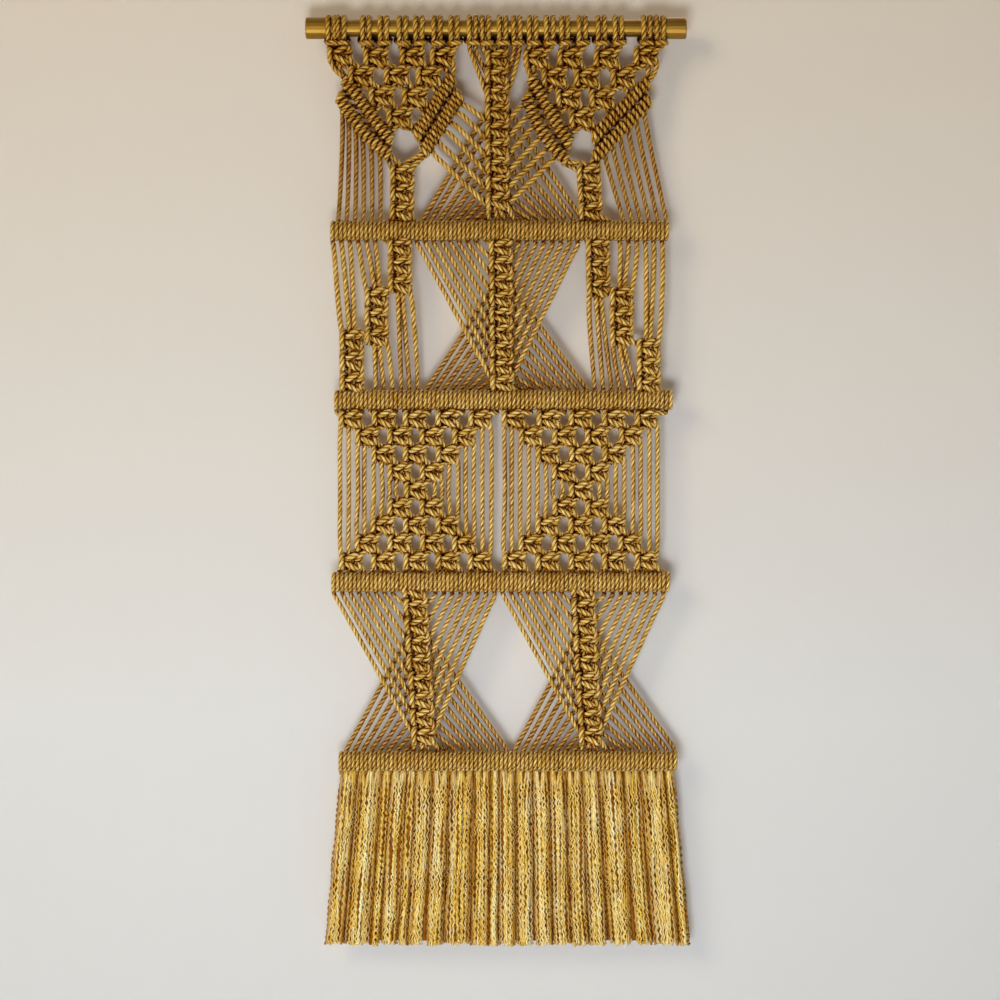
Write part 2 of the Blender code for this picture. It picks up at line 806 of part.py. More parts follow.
# ------------------------------------------------------------------- fringe
def build_fringe(collection, pieces, cotton):
    """Combed locks whose roots are fused into a narrow strip under bar 4."""
    bar = BARS[4]
    strip_top = bar.z - BAR_CREST - GAP
    size = mm(FRINGE_TOP_WIDTH + 3.0, STRIP_DEPTH, STRIP_HEIGHT)
    block = bmesh.new()
    bmesh.ops.create_cube(block, size=1.0)
    bmesh.ops.scale(block, vec=size, verts=block.verts)
    mesh = bpy.data.meshes.new("fringe")
    block.to_mesh(mesh)
    block.free()
    strip = add_object("fringe", mesh, collection)
    strip.location = mm(bar.x, 0.0, strip_top - STRIP_HEIGHT / 2)

    locks = []
    for row, depth in enumerate(LOCK_ROWS):
        for index in range(LOCKS - row):
            place = (index + 0.5 + 0.5 * row) / LOCKS - 0.5
            sway = math.sin(LOCK_TURN * index + row)
            x_top = bar.x + place * FRINGE_TOP_WIDTH
            x_end = bar.x + FRINGE_BOTTOM_SHIFT + place * FRINGE_BOTTOM_WIDTH
            z_root = strip_top - STRIP_HEIGHT / 2
            z_end = FRINGE_BOTTOM + LOCK_UNEVEN * (1.0 + sway)
            z_mid = lerp(z_root, z_end, LOCK_BULGE)
            x_mid = lerp(x_top, x_end, LOCK_BULGE) + LOCK_SWAY * sway
            locks.append([
                ((x_top, depth, z_root), LOCK_ROOT_RADIUS),
                ((x_mid, depth, z_mid), LOCK_BODY_RADIUS),
                ((x_end, depth, z_end), LOCK_END_RADIUS),
            ])
    lock_mesh = cords_mesh("fringe_locks", locks, LOCK_SIDES, pieces)
    union = strip.modifiers.new("Roots", "BOOLEAN")
    union.operation = "UNION"
    union.object = lock_mesh
    union.solver = "EXACT"
    union.use_self = True
    strip.data.materials.append(cotton)
    return strip


def main():
    clear_scene()
    parts = new_collection("macrame_wall_hanging")
    knot_pieces = new_collection("knot_pieces", helper=True)
    fringe_pieces = new_collection("fringe_pieces", helper=True)
    brass = material("brushed_brass", (0.48, 0.33, 0.13), 0.32, 1.0)
    cotton = material("mustard_cotton", (0.44, 0.29, 0.06), 0.8)
    straw = material("straw_cotton", (0.62, 0.46, 0.16), 0.85)
    build_rod(parts, brass)
    build_cap("cap_left", -1, parts, brass)
    build_cap("cap_right", 1, parts, brass)
    build_panel(parts, knot_pieces, cotton)
    build_fringe(parts, fringe_pieces, straw)


main()
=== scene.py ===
# %% [markdown]
# # A macrame wall hanging on a brass rod
# The real hanging is one long piece of cord work.  Twenty cords are folded over
# a brass rod, which gives forty strands, and the strands are knotted downwards
# through four sections.  A wrapped bar closes each section.  Below the last bar
# the strands are combed out into a fringe.
#
# A picture of rope on a flat panel would look wrong from the side, so each
# strand is followed through all of its knots as a path in space.  A laid cord
# is then swept along every path.

# %% Load the frame and keep its parts where they stand
import json
import math
from collections import namedtuple

import bpy
import numpy as np
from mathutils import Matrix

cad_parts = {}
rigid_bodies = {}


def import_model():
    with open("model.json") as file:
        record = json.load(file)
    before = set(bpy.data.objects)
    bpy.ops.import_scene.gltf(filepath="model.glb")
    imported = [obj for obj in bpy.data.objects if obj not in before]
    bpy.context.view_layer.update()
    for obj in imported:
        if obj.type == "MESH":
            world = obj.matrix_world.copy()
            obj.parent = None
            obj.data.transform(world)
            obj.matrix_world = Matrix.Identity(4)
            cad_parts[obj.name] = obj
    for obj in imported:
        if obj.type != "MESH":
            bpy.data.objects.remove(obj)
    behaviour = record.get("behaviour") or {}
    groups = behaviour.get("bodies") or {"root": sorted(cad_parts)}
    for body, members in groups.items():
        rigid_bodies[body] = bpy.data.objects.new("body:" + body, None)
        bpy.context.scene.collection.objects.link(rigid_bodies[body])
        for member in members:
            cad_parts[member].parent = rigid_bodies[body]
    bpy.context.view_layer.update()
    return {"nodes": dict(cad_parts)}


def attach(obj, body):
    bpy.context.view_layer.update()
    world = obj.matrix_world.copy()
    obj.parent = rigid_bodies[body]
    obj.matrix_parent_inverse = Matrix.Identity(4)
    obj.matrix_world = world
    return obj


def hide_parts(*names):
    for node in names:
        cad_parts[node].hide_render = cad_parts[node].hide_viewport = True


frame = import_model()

MM = 0.001

# %% [markdown]
# ## Where the bars lie
# All places are in millimetres.  X runs along the rod, Z is up, and Y points to
# the wall, so a cord in front has a negative Y.  The origin is on the rod's
# axis at mid-length.  A bar holds the forty strands evenly spaced, in places
# that are numbered from 0 on the left to 39 on the right.

# %% Bars and places
STRANDS = 40
STRAND_PITCH = 7.9
BAR_RADIUS = 7.8
BARS = {1: (3.3, -189.4), 2: (7.0, -347.7), 3: (4.4, -517.9), 4: (10.9, -685.6)}


def bar_x(bar, place):
    """Distance along X of a place at a bar."""
    return BARS[bar][0] + (place - (STRANDS - 1) / 2) * STRAND_PITCH


print("bar 1 holds its strands from", bar_x(1, 0), "to", bar_x(1, STRANDS - 1), "mm")

# %% [markdown]
# ## One strand at a time
# A strand's route is a list of points that grows as the work goes down: each
# knot adds the few points where its cords turn over and under each other.  A
# curve object for each strand could do this too, but forty strands with
# hundreds of turns are quicker to handle as plain lists of points.

# %% Routes, and the small slips of a hand that ties them
STRAND_FULL = {1: 1.18, 2: 1.12, 3: 1.06}
HAND_SLIP = 0.12
hand = np.random.default_rng(11)
routes = [[] for strand in range(STRANDS)]
holding = list(range(STRANDS))


def slip(size):
    """A small random offset in X, Y and Z."""
    return hand.normal(0.0, size, 3)


taut = {"full": STRAND_FULL[1]}


def lead(strand, *points, full=None):
    """Takes a strand on through some more points.  A slack cord is fuller than a taut one."""
    routes[strand].extend(np.array((*point, full or taut["full"]), float) for point in points)


def where(strand):
    """The last point of a strand so far."""
    return routes[strand][-1][:3]


def straight(strand, target, shares=(0.2, 0.5, 0.8, 1.0)):
    """Takes a strand on in a straight line, so that the curve does not bow."""
    start = where(strand)
    for share in shares:
        lead(strand, start + (np.array(target, float) - start) * share)


print(len(routes), "routes are still empty")

# %% [markdown]
# ## Lark's heads
# Each cord is folded in half behind the rod.  The fold comes forward under the
# rod as a short level bar, and the two ends go up behind the rod, over its top
# and down through the fold.  Behind the rod the two ends spread apart, as far as
# the neighbouring heads leave room; below the rod these spread ends get a deep
# painted shade, so that they show dark between the heads.  Both halves of a cord
# start at the fold's middle, so they are joined into one cord when it is swept.

# %% The twenty heads
HEAD_X = (
    -153.6, -144.6, -121.5, -105.0, -87.1, -72.1, -55.0, -39.1, -22.0, -10.1,
    6.1, 19.4, 34.0, 50.0, 64.0, 80.2, 98.3, 114.2, 140.8, 152.8,
)
FOLD_SHIFT = 1.4
HEAD_LEG = (
    (0.0, -8.9, -15.0),
    (2.9, -8.6, -15.1),
    (4.4, -5.6, -14.8),
    (5.2, 0.4, -12.4),
    (6.4, 5.8, -10.0),
    (5.0, 9.9, -3.0),
    (3.0, 8.4, 6.0),
    (3.0, 2.2, 10.2),
    (3.0, -5.2, 9.0),
    (3.0, -10.1, 3.0),
    (2.9, -10.1, -4.4),
    (2.7, -6.6, -11.6),
    (2.6, -2.8, -16.6),
)
FOLD_POINTS = 3
HEAD_FULL = 1.2
HEAD_ROOM = 0.6
OPEN_ROOM = 5.0


def larks_head(head):
    """Folds one cord over the rod and starts its two strands."""
    for side, strand in ((-1.0, 2 * head), (1.0, 2 * head + 1)):
        sag = slip(HAND_SLIP)
        beside = head + int(side)
        room = OPEN_ROOM
        if 0 <= beside < len(HEAD_X):
            room = abs(HEAD_X[beside] - HEAD_X[head]) / 2 - HEAD_ROOM
        for number, (across, y, z) in enumerate(HEAD_LEG):
            shift = FOLD_SHIFT if number < FOLD_POINTS else 0.0
            across = across if number < FOLD_POINTS else min(across, room)
            place = np.array((HEAD_X[head] + shift + side * across, y, z)) + sag * (number > 0)
            lead(strand, place, full=HEAD_FULL)


for head in range(len(HEAD_X)):
    larks_head(head)
print(len(HEAD_X), "heads give", len(routes), "strands")

# %% [markdown]
# ## The square knot
# Two outer cords are tied round two inner ones.  The left outer cord crosses in
# front twice and leaves two bars.  The right outer cord passes behind twice,
# and on the left it comes forward as one upright bump that holds both bars.
# The tables follow the cords from top to bottom, measured from the knot's
# middle.  A ready-made knot mesh could be repeated, but then the cords would
# not run on from one knot to the next.

# %% The turns of a square knot
FRONT_CORD = (
    (-11.8, 0.4, 7.8),
    (-9.4, -0.4, 3.0),
    (-5.6, -3.2, 1.9),
    (0.0, -4.9, 4.4),
    (5.4, -4.2, 7.2),
    (9.0, -1.0, 7.2),
    (9.9, 1.6, 1.0),
    (9.2, -1.0, -6.0),
    (6.2, -4.2, -7.6),
    (0.6, -4.9, -4.8),
    (-5.6, -3.2, -2.0),
    (-9.4, -0.4, -3.2),
    (-11.8, 0.4, -7.8),
)
BACK_CORD = (
    (12.8, -0.8, 9.0),
    (10.0, -3.6, 5.4),
    (6.8, -1.8, 2.6),
    (3.2, 2.8, 2.2),
    (-2.0, 4.5, 3.8),
    (-6.8, 2.8, 6.6),
    (-9.4, -1.8, 7.2),
    (-10.2, -5.0, 3.6),
    (-10.3, -5.8, 0.0),
    (-10.2, -5.0, -3.8),
    (-9.4, -1.8, -7.2),
    (-6.8, 2.8, -6.4),
    (-2.0, 4.5, -3.6),
    (3.2, 2.8, -2.0),
    (6.8, -1.8, -2.2),
    (10.0, -3.6, -5.2),
    (12.8, -0.8, -9.0),
)
LEFT_FILLER = ((-2.3, 0.2, 8.6), (-2.0, 0.0, 0.0), (-2.3, 0.2, -8.6))
RIGHT_FILLER = ((2.3, 0.2, 8.6), (2.0, 0.0, 0.0), (2.3, 0.2, -8.6))
ROLES = (FRONT_CORD, LEFT_FILLER, RIGHT_FILLER, BACK_CORD)
KNOT_FULL = 1.3
NET_LOOSE = 0.3


def square_knot(strands, x, z, width=1.0, height=1.0, enter=0, leave=0, loose=NET_LOOSE):
    """Ties four strands, given from left to right, round a middle point."""
    shift = slip(loose)
    for strand, turns in zip(strands, ROLES):
        last = len(turns)
        if turns in (FRONT_CORD, BACK_CORD):
            turns = turns[enter:last - leave]
        for dx, dy, dz in turns:
            turn = np.array((x + dx * width, dy, z + dz * height))
            lead(strand, turn + shift + slip(HAND_SLIP), full=KNOT_FULL)


print("a square knot has", sum(len(turns) for turns in ROLES), "points on four strands")

# %% [markdown]
# ## Sinnets
# A sinnet is a column of square knots on the same four cords.  The knots sit
# tight against each other, so they are narrower than those of a net, and the
# outer cords stay close at the sides between them.  A strand that hangs lower
# than the first knot's top would make a hook there, so its last point is dropped.

# %% A column of knots
SINNET_WIDTH = 0.88
SINNET_LOOSE = 0.2
KNOT_REACH = 18.3


def sinnet(strands, x_first, x_last, z_first, pitch, knots):
    """Ties a column of knots on four strands."""
    for strand in strands:
        if where(strand)[2] < z_first + pitch / 3:
            routes[strand].pop()
    for knot in range(knots):
        share = knot / (knots - 1)
        x = x_first + (x_last - x_first) * share
        z = z_first - pitch * knot
        square_knot(strands, x, z, SINNET_WIDTH, pitch / KNOT_REACH, 1, 1, SINNET_LOOSE)


print("a sinnet is", SINNET_WIDTH, "times as wide as a loose knot")

# %% [markdown]
# ## The double half hitch
# A strand winds twice round a carrier and leaves two wraps side by side.  The
# same winding makes the diagonal bars, where another strand is the carrier, and
# the thick level bars.  On a level bar the front of each wrap stands nearly
# upright, and the step to the next wrap is hidden at the back.

# %% Winding a strand round a carrier
WRAP_STEP = 36.0
BAR_FULL = 1.0
ARM_FULL = 1.2
LEAN_LEFT = -1.0
BAR_HIDDEN = 20.0
UPRIGHT = 0.7
WRAP_SLIP = 0.1
FIRST_TURN = 90.0
LAST_TURN = 630.0
BAR_EXIT = np.array((-1.6, 0.8, -12.0))
ALONG_BAR = np.array((1.0, 0.0, 0.0))
TO_WALL = np.array((0.0, 1.0, 0.0))
ABOVE = np.array((0.0, 0.0, 1.0))


def wind(strand, middle, along, up, radius, pitch, full, hidden, upright=0.0):
    """Two wraps round a carrier: 90 degrees is above it and 180 in front."""
    loose = slip(WRAP_SLIP)
    for degrees in np.arange(FIRST_TURN - hidden, LAST_TURN + hidden + 1.0, WRAP_STEP):
        turn = math.radians(degrees)
        shift = pitch * ((turn - math.pi + upright * math.sin(turn)) / (2 * math.pi) - 0.5)
        ring = radius * (math.sin(turn) * up + math.cos(turn) * TO_WALL)
        lead(strand, middle + shift * along + ring + loose, full=full)


def wrap_bar(bar, arriving):
    """Winds the strands, given in the order of their places, round a level bar."""
    for place, strand in enumerate(arriving):
        middle = np.array((bar_x(bar, place), 0.0, BARS[bar][1]))
        pitch = LEAN_LEFT * STRAND_PITCH / 2
        wind(strand, middle, ALONG_BAR, ABOVE, BAR_RADIUS, pitch, BAR_FULL, BAR_HIDDEN, UPRIGHT)
        lead(strand, middle + BAR_EXIT)
    holding[:] = arriving


print("a wrap of a level bar is", STRAND_PITCH / 2, "mm wide")

# %% [markdown]
# ## Fans behind a sinnet
# Beside a sinnet the strands come in at a slant, slip behind it between two
# knots, and come out on its other side, so the two fans cross behind it.  The
# ones that come in lie nearer than the ones that go out.

# %% Sending a strand behind a sinnet
FRONT_LAYER = -2.4
BACK_LAYER = 4.4
EDGE = 9.0
DIVE = 6.0
BEHIND = {-1: 6.0, 1: 9.2}
AT_EDGE = 0.6
SLANT_SHARES = (0.12, 0.3, 0.6, 1.0)
OUT_SHARES = (0.25, 0.5, 0.75, 1.0)
SHORT_SHARES = (0.5, 1.0)


def pass_behind(strand, side, sinnet_x, edge_z, end_x, end_z):
    """side is -1 for a strand that comes from the left and 1 for the right."""
    start = where(strand)
    edge_x = sinnet_x + side * EDGE
    slope = (edge_z - start[2]) / (edge_x - start[0])
    near_x = edge_x + side * DIVE
    if (start[0] - near_x) * side > DIVE:
        near_z = edge_z + slope * (near_x - edge_x)
        straight(strand, (near_x, FRONT_LAYER, near_z), SLANT_SHARES)
    lead(strand, (edge_x + side, AT_EDGE, edge_z + slope * side))
    depth = BEHIND[side]
    out_slope = (end_z - edge_z) / (end_x - edge_x)
    lead(strand, (sinnet_x, depth, edge_z + out_slope * (sinnet_x - edge_x)))
    out_x = sinnet_x - side * EDGE
    if (out_x - end_x) * side > DIVE:
        lead(strand, (out_x, depth - AT_EDGE, edge_z + out_slope * (out_x - edge_x)))
        straight(strand, (end_x, BACK_LAYER, end_z), OUT_SHARES)
    else:
        straight(strand, (end_x, BACK_LAYER, end_z), SHORT_SHARES)


print("the two fans cross", BEHIND[-1], "and", BEHIND[1], "mm behind the middle")

# %% [markdown]
# ## Section 1: the two V nets
# Under the heads, sixteen strands on each side are netted into a V: four knots,
# then three, two and one, each row tied with two strands from each of the knots
# above it.

# %% The V nets
V_NET_WIDTH = 0.94
V_NETS = {
    0: (
        ((-145.8, -24.8), (-111.7, -27.1), (-78.0, -27.1), (-49.4, -27.1)),
        ((-125.7, -44.7), (-93.3, -44.7), (-63.0, -44.7)),
        ((-106.7, -63.8), (-76.1, -63.8)),
        ((-90.7, -82.8),),
    ),
    24: (
        ((37.5, -27.8), (69.7, -27.8), (103.6, -27.8), (140.7, -26.7)),
        ((54.7, -46.1), (84.8, -46.1), (119.2, -46.1)),
        ((67.6, -65.4), (98.7, -65.4)),
        ((80.7, -83.3),),
    ),
}
for first_strand, rows in V_NETS.items():
    for row, knots in enumerate(rows):
        for number, (x, z) in enumerate(knots):
            left = first_strand + 2 * row + 4 * number
            square_knot(range(left, left + 4), x, z, V_NET_WIDTH, enter=1 if row == 0 else 0)
SHOULDERS = {
    0: (-150.5, -0.3, -38.5),
    15: (-39.5, -0.3, -38.0),
    24: (29.5, -0.3, -38.0),
    39: (148.5, -0.3, -41.0),
}
for strand, shoulder in SHOULDERS.items():
    routes[strand].pop()
    lead(strand, shoulder)
print("each V net has", sum(len(knots) for knots in rows), "knots")

# %% [markdown]
# ## The diagonal bars
# Below each edge of a V lie two slanting bars.  The outermost strand is laid
# along the edge as the carrier and every other strand of that side is hitched
# over it.  The next strand then carries the second bar, and the first carrier is
# hitched on last.  The tables follow each bar from its outer to its inner end.

# %% The eight diagonal bars
ARM_RADIUS = 4.5
ARM_HIDDEN = 62.0
BEND = 0.06
CARRIER_PARTS = 8
ARMS = (
    (
        range(0, 8),
        ((-142.0, -46.5), (-97.8, -106.0)),
        ((-147.0, -63.0), (-135.0, -82.0), (-121.5, -99.5), (-99.0, -119.5)),
    ),
    (
        range(15, 7, -1),
        ((-40.8, -45.2), (-74.9, -101.6)),
        ((-34.0, -61.6), (-68.5, -117.0)),
    ),
    (
        range(24, 32),
        ((32.4, -45.5), (69.3, -109.0)),
        ((28.3, -61.5), (35.0, -81.2), (45.4, -100.6), (56.0, -113.6), (67.0, -124.5)),
    ),
    (
        range(39, 31, -1),
        ((142.3, -49.8), (90.8, -102.5)),
        ((143.6, -67.0), (91.4, -121.8)),
    ),
)


def place_on(line, share):
    """The point at a share of a bent line, the direction there and the whole length."""
    xs, zs = np.array(line, float).T
    ends = np.concatenate(((0.0,), np.cumsum(np.hypot(np.diff(xs), np.diff(zs)))))
    before, at, after = (
        np.clip(share + move, 0.0, 1.0) * ends[-1] for move in (-BEND, 0.0, BEND)
    )
    direction = np.array((
        np.interp(after, ends, xs) - np.interp(before, ends, xs), 0.0,
        np.interp(after, ends, zs) - np.interp(before, ends, zs),
    ))
    point = np.array((np.interp(at, ends, xs), 0.0, np.interp(at, ends, zs)))
    return point, direction / np.linalg.norm(direction), ends[-1]


def diagonal_bar(line, carrier, hitched):
    """Hitches strands over a carrier, from the outer end to the inner end."""
    count = len(hitched)
    for number in range(CARRIER_PARTS + 1):
        point, _, _ = place_on(line, number / CARRIER_PARTS)
        lead(carrier, point)
    for number, strand in enumerate(hitched):
        middle, along, length = place_on(line, (number + 0.5) / count)
        up = np.array((-along[2], 0.0, along[0]))
        if up[2] < 0:
            up = -up
        wind(strand, middle, along, up, ARM_RADIUS, length / count / 2, ARM_FULL, ARM_HIDDEN)


for strands, upper, lower in ARMS:
    first, second, *others = strands
    diagonal_bar(upper, first, [second, *others])
    diagonal_bar(lower, second, [*others, first])
print(len(ARMS) * 2, "diagonal bars are tied")

# %% [markdown]
# ## The rest of section 1
# The bars of each V meet in a short sinnet.  The strands of the outer bars hang
# straight to bar 1, and those of the inner bars fan in behind the middle sinnet.

# %% Sinnets, fans and bar 1
SINNETS_1 = (
    ((0, 1, 14, 15), -87.4, -88.0, -136.0, 17.6, 3),
    ((24, 25, 38, 39), 86.6, 88.6, -136.0, 17.6, 3),
    ((18, 19, 20, 21), 0.9, 1.4, -27.9, 16.7, 9),
)
for strands, x_first, x_last, z_first, pitch, knots in SINNETS_1:
    sinnet(strands, x_first, x_last, z_first, pitch, knots)
CENTRE_1_X = 1.2
FAN_1_EDGE_Z = (-44.5, -63.2, -87.5, -104.4, -120.3, -136.2, -150.2, -166.0)
FAN_1 = {
    -1: (
        (17, 16, 13, 12, 11, 10, 9, 8),
        (
            (-28.1, -72.2), (-33.0, -80.0), (-38.1, -90.3),
            (-43.0, -98.7), (-49.1, -110.9), (-56.3, -119.8),
        ),
    ),
    1: (
        (22, 23, 26, 27, 28, 29, 30, 31),
        (
            (23.9, -72.5), (27.4, -83.8), (33.1, -94.0),
            (39.6, -104.0), (44.6, -115.4), (53.2, -123.0),
        ),
    ),
}
FAN_CORDS = 8
FROM_HEADS = 2
UNDER_HEAD = (-2.2, -20.0)
FAN_START_Y = -1.0
BAR_TOP = 9.6
WRAP_START = 2.9


def crossed_place(side, rank):
    """Where a fan's strand arrives on the next bar, on the other side of the middle."""
    return 29 - rank if side < 0 else 10 + rank


bar_top_z = BARS[1][1] + BAR_TOP
for side, (strands, starts) in FAN_1.items():
    for rank, strand in enumerate(strands):
        if rank < FROM_HEADS:
            lead(strand, (where(strand)[0], *UNDER_HEAD))
        else:
            x, z = starts[rank - FROM_HEADS]
            lead(strand, (x, FAN_START_Y, z))
        end_x = bar_x(1, crossed_place(side, rank)) + WRAP_START
        pass_behind(strand, side, CENTRE_1_X, FAN_1_EDGE_Z[rank], end_x, bar_top_z)
left_side = [*range(2, 8), 0, 1, 14, 15, *FAN_1[1][0], *range(18, 22)]
right_side = [*FAN_1[-1][0][::-1], 24, 25, 38, 39, *range(32, 38)]
wrap_bar(1, left_side + right_side)
print("bar 1 holds", len(holding), "strands")

# %% [markdown]
# ## Section 2: steps at the sides and a long middle sinnet
# Three short sinnets step outwards on each side.  Each step takes one strand
# from the step above it and three new ones.

# %% Section 2 down to bar 2
taut["full"] = STRAND_FULL[2]
STEP_KNOTS = 3
STEPS = (
    (6, -89.5, -203.8, 17.6),
    (3, -111.4, -251.2, 18.4),
    (0, -134.8, -291.2, 20.0),
    (30, 95.7, -204.5, 19.0),
    (33, 117.5, -251.2, 18.4),
    (36, 142.5, -299.0, 17.3),
)
for first_place, x, z, pitch in STEPS:
    sinnet(holding[first_place:first_place + 4], x, x, z, pitch, STEP_KNOTS)
CENTRE_2 = (4.7, 5.6)
CENTRE_2_X = 5.2
CENTRE_2_TOP = -205.0
CENTRE_2_PITCH = 15.9
CENTRE_2_KNOTS = 9
FAN_2_EDGE_Z = -216.6
sinnet(holding[18:22], *CENTRE_2, CENTRE_2_TOP, CENTRE_2_PITCH, CENTRE_2_KNOTS)
bar_top_z = BARS[2][1] + BAR_TOP
for side in (-1, 1):
    for rank in range(FAN_CORDS):
        strand = holding[17 - rank if side < 0 else 22 + rank]
        end_x = bar_x(2, crossed_place(side, rank)) + WRAP_START
        edge_z = FAN_2_EDGE_Z - CENTRE_2_PITCH * rank
        pass_behind(strand, side, CENTRE_2_X, edge_z, end_x, bar_top_z)
wrap_bar(2, [*holding[:10], *holding[22:30], *holding[18:22], *holding[10:18], *holding[30:]])
print("bar 2 closes section 2")

# %% [markdown]
# ## Section 3: two hourglass nets
# Each half of the strands is netted down to a single knot and out again: rows
# of five, four, three, two, one and back to five knots.  The strands left over
# hang from one wide row to the other, and sway a little as real ones do.

# %% The hourglass nets down to bar 3
taut["full"] = STRAND_FULL[3]
HOURGLASSES = ((0, -75.4, 15.1), (20, 79.0, 15.5))
HOURGLASS_TOP = -364.9
HOURGLASS_ROW = 16.7
HOURGLASS_WIDTH = 0.86
HOURGLASS_KNOTS = (5, 4, 3, 2, 1, 2, 3, 4, 5)
FLOAT_OFFSETS = (-9.8, -2.2, 2.2, 9.8)
FLOAT_LENGTH = 24.0
FLOAT_TURN = 6.0
FLOAT_SWAY = 0.9
for first_place, centre, half_pitch in HOURGLASSES:
    for row, knots in enumerate(HOURGLASS_KNOTS):
        z = HOURGLASS_TOP - HOURGLASS_ROW * row
        indent = 2 * (HOURGLASS_KNOTS[0] - knots)
        for number in range(knots):
            x = centre + (number - (knots - 1) / 2) * 2 * half_pitch
            left = first_place + indent + 4 * number
            tied = holding[left:left + 4]
            ends = {}
            for strand, offset in zip(tied, FLOAT_OFFSETS):
                above = where(strand)[2]
                if above - z > FLOAT_LENGTH:
                    routes[strand].pop()
                    sway = hand.normal(0.0, FLOAT_SWAY, 2)
                    lead(strand, (x + offset + sway[0] / 2, 0.0, above - FLOAT_TURN))
                    lead(strand, (x + offset + sway[0], sway[1], (above + z) / 2))
                    lead(strand, (x + offset, 0.0, z + 2 * FLOAT_TURN))
                    ends[strand] = len(routes[strand])
            height = HOURGLASS_ROW / KNOT_REACH
            square_knot(tied, x, z, HOURGLASS_WIDTH, height, 1 if row == 0 else 0)
            for strand, end in ends.items():
                del routes[strand][end]
wrap_bar(3, list(holding))
print("each hourglass has", sum(HOURGLASS_KNOTS), "knots")

# %% [markdown]
# ## Section 4: two sinnets with crossing fans
# The last section repeats the crossing fans on each half of the strands, and
# ends at the bar that the fringe hangs from.

# %% Section 4 down to bar 4
PANELS = ((0, -76.2, -67.6), (20, 81.0, 88.6))
SINNET_4_TOP = -524.4
SINNET_4_PITCH = 17.1
SINNET_4_KNOTS = 9
EDGE_LAG = 0.9
bar_top_z = BARS[4][1] + BAR_TOP
arriving = []
for first_place, x_top, x_end in PANELS:
    group = holding[first_place:first_place + 20]
    sinnet(group[8:12], x_top, x_end, SINNET_4_TOP, SINNET_4_PITCH, SINNET_4_KNOTS)
    order = [*group[12:], *group[8:12], *group[:8]]
    for side in (-1, 1):
        for rank in range(FAN_CORDS):
            strand = group[7 - rank if side < 0 else 12 + rank]
            place = first_place + order.index(strand)
            share = (rank + 1.0) / SINNET_4_KNOTS
            edge_z = SINNET_4_TOP - SINNET_4_PITCH * (rank + EDGE_LAG)
            sinnet_x = x_top + (x_end - x_top) * share
            end_x = bar_x(4, place) + WRAP_START
            pass_behind(strand, side, sinnet_x, edge_z, end_x, bar_top_z)
    arriving += order
wrap_bar(4, arriving)
print("the routes hold", sum(len(route) for route in routes), "points")

# %% [markdown]
# ## Smooth routes
# A curve that passes through every point, with gentle speed changes, keeps tight
# turns from overshooting.  It is then cut into even steps, because a laid cord
# has to twist evenly along its length.

# %% From points to an even middle line
STEP = 1.7
CUTS = 7
SAME_PLACE = 0.3


def smooth_route(points, step):
    """A centripetal curve through the points, cut into even steps."""
    points = np.array(points, float)
    gaps = np.linalg.norm(np.diff(points[:, :3], axis=0), axis=1)
    points = points[np.concatenate(((True,), gaps > SAME_PLACE))]
    fullness = points[:, 3]
    points = points[:, :3]
    gaps = np.linalg.norm(np.diff(points, axis=0), axis=1)
    spans = np.sqrt(gaps)
    speeds = np.diff(points, axis=0) / spans[:, None]
    before, after = spans[:-1, None], spans[1:, None]
    inner = (speeds[:-1] * after + speeds[1:] * before) / (before + after)
    slopes = np.vstack((speeds[:1], inner, speeds[-1:]))
    t = (np.arange(CUTS) / CUTS)[None, :, None]
    p0, p1 = points[:-1, None], points[1:, None]
    m0 = slopes[:-1, None] * spans[:, None, None]
    m1 = slopes[1:, None] * spans[:, None, None]
    curve = (
        (2 * t**3 - 3 * t**2 + 1) * p0 + (t**3 - 2 * t**2 + t) * m0
        + (-2 * t**3 + 3 * t**2) * p1 + (t**3 - t**2) * m1
    )
    curve = np.vstack((curve.reshape(-1, 3), points[-1:]))
    moves = np.linalg.norm(np.diff(curve, axis=0), axis=1)
    far = np.concatenate(((0.0,), np.cumsum(moves)))
    count = max(int(round(far[-1] / step)), 3)
    stops = np.linspace(0.0, far[-1], count + 1)
    line = np.stack([np.interp(stops, far, curve[:, axis]) for axis in range(3)], axis=1)
    line[1:-1] = (line[:-2] + 2 * line[1:-1] + line[2:]) / 4
    full = np.interp(stops, far[::CUTS], fullness)
    return line, full, far[-1]


print("cords are cut into steps of", STEP, "mm")

# %% [markdown]
# ## A laid cord
# The cord is three plies twisted to the right.  Its section has three valleys
# and three rounded plies, and the section turns once for every sixteen and a
# half millimetres of cord.  Modelling the plies as real shape lets light and shade
# follow them round every knot.  Each point also keeps how far round its ply it
# lies and how far along the cord, which the material uses for the fibres, and
# whether it lies in a valley or on a crest, which the material uses for a
# painted shade in the valleys and a painted highlight on the crests.

# %% Sweep a section along a line
LAY = 16.5
PLIES = 3
VALLEY = 1.38
CREST = 2.16
CREST_HALF_ANGLE = 27.0
section = []
for ply in range(PLIES):
    start = 360.0 / PLIES * ply
    middle = start + 180.0 / PLIES
    crests = (middle - CREST_HALF_ANGLE, middle + CREST_HALF_ANGLE)
    section += [(start, VALLEY), *((crest, CREST) for crest in crests)]
cord_angles = np.radians([angle for angle, radius in section])
cord_radii = np.array([radius for angle, radius in section])
# Painted shade and highlight: 0 in a ply's valley, which the material paints darker, and 1 on its
# crest, which it paints lighter.
painted_ply_shade_and_highlight = (cord_radii - VALLEY) / (CREST - VALLEY)
ANY_WAY = (0.31, 0.83, 0.47)


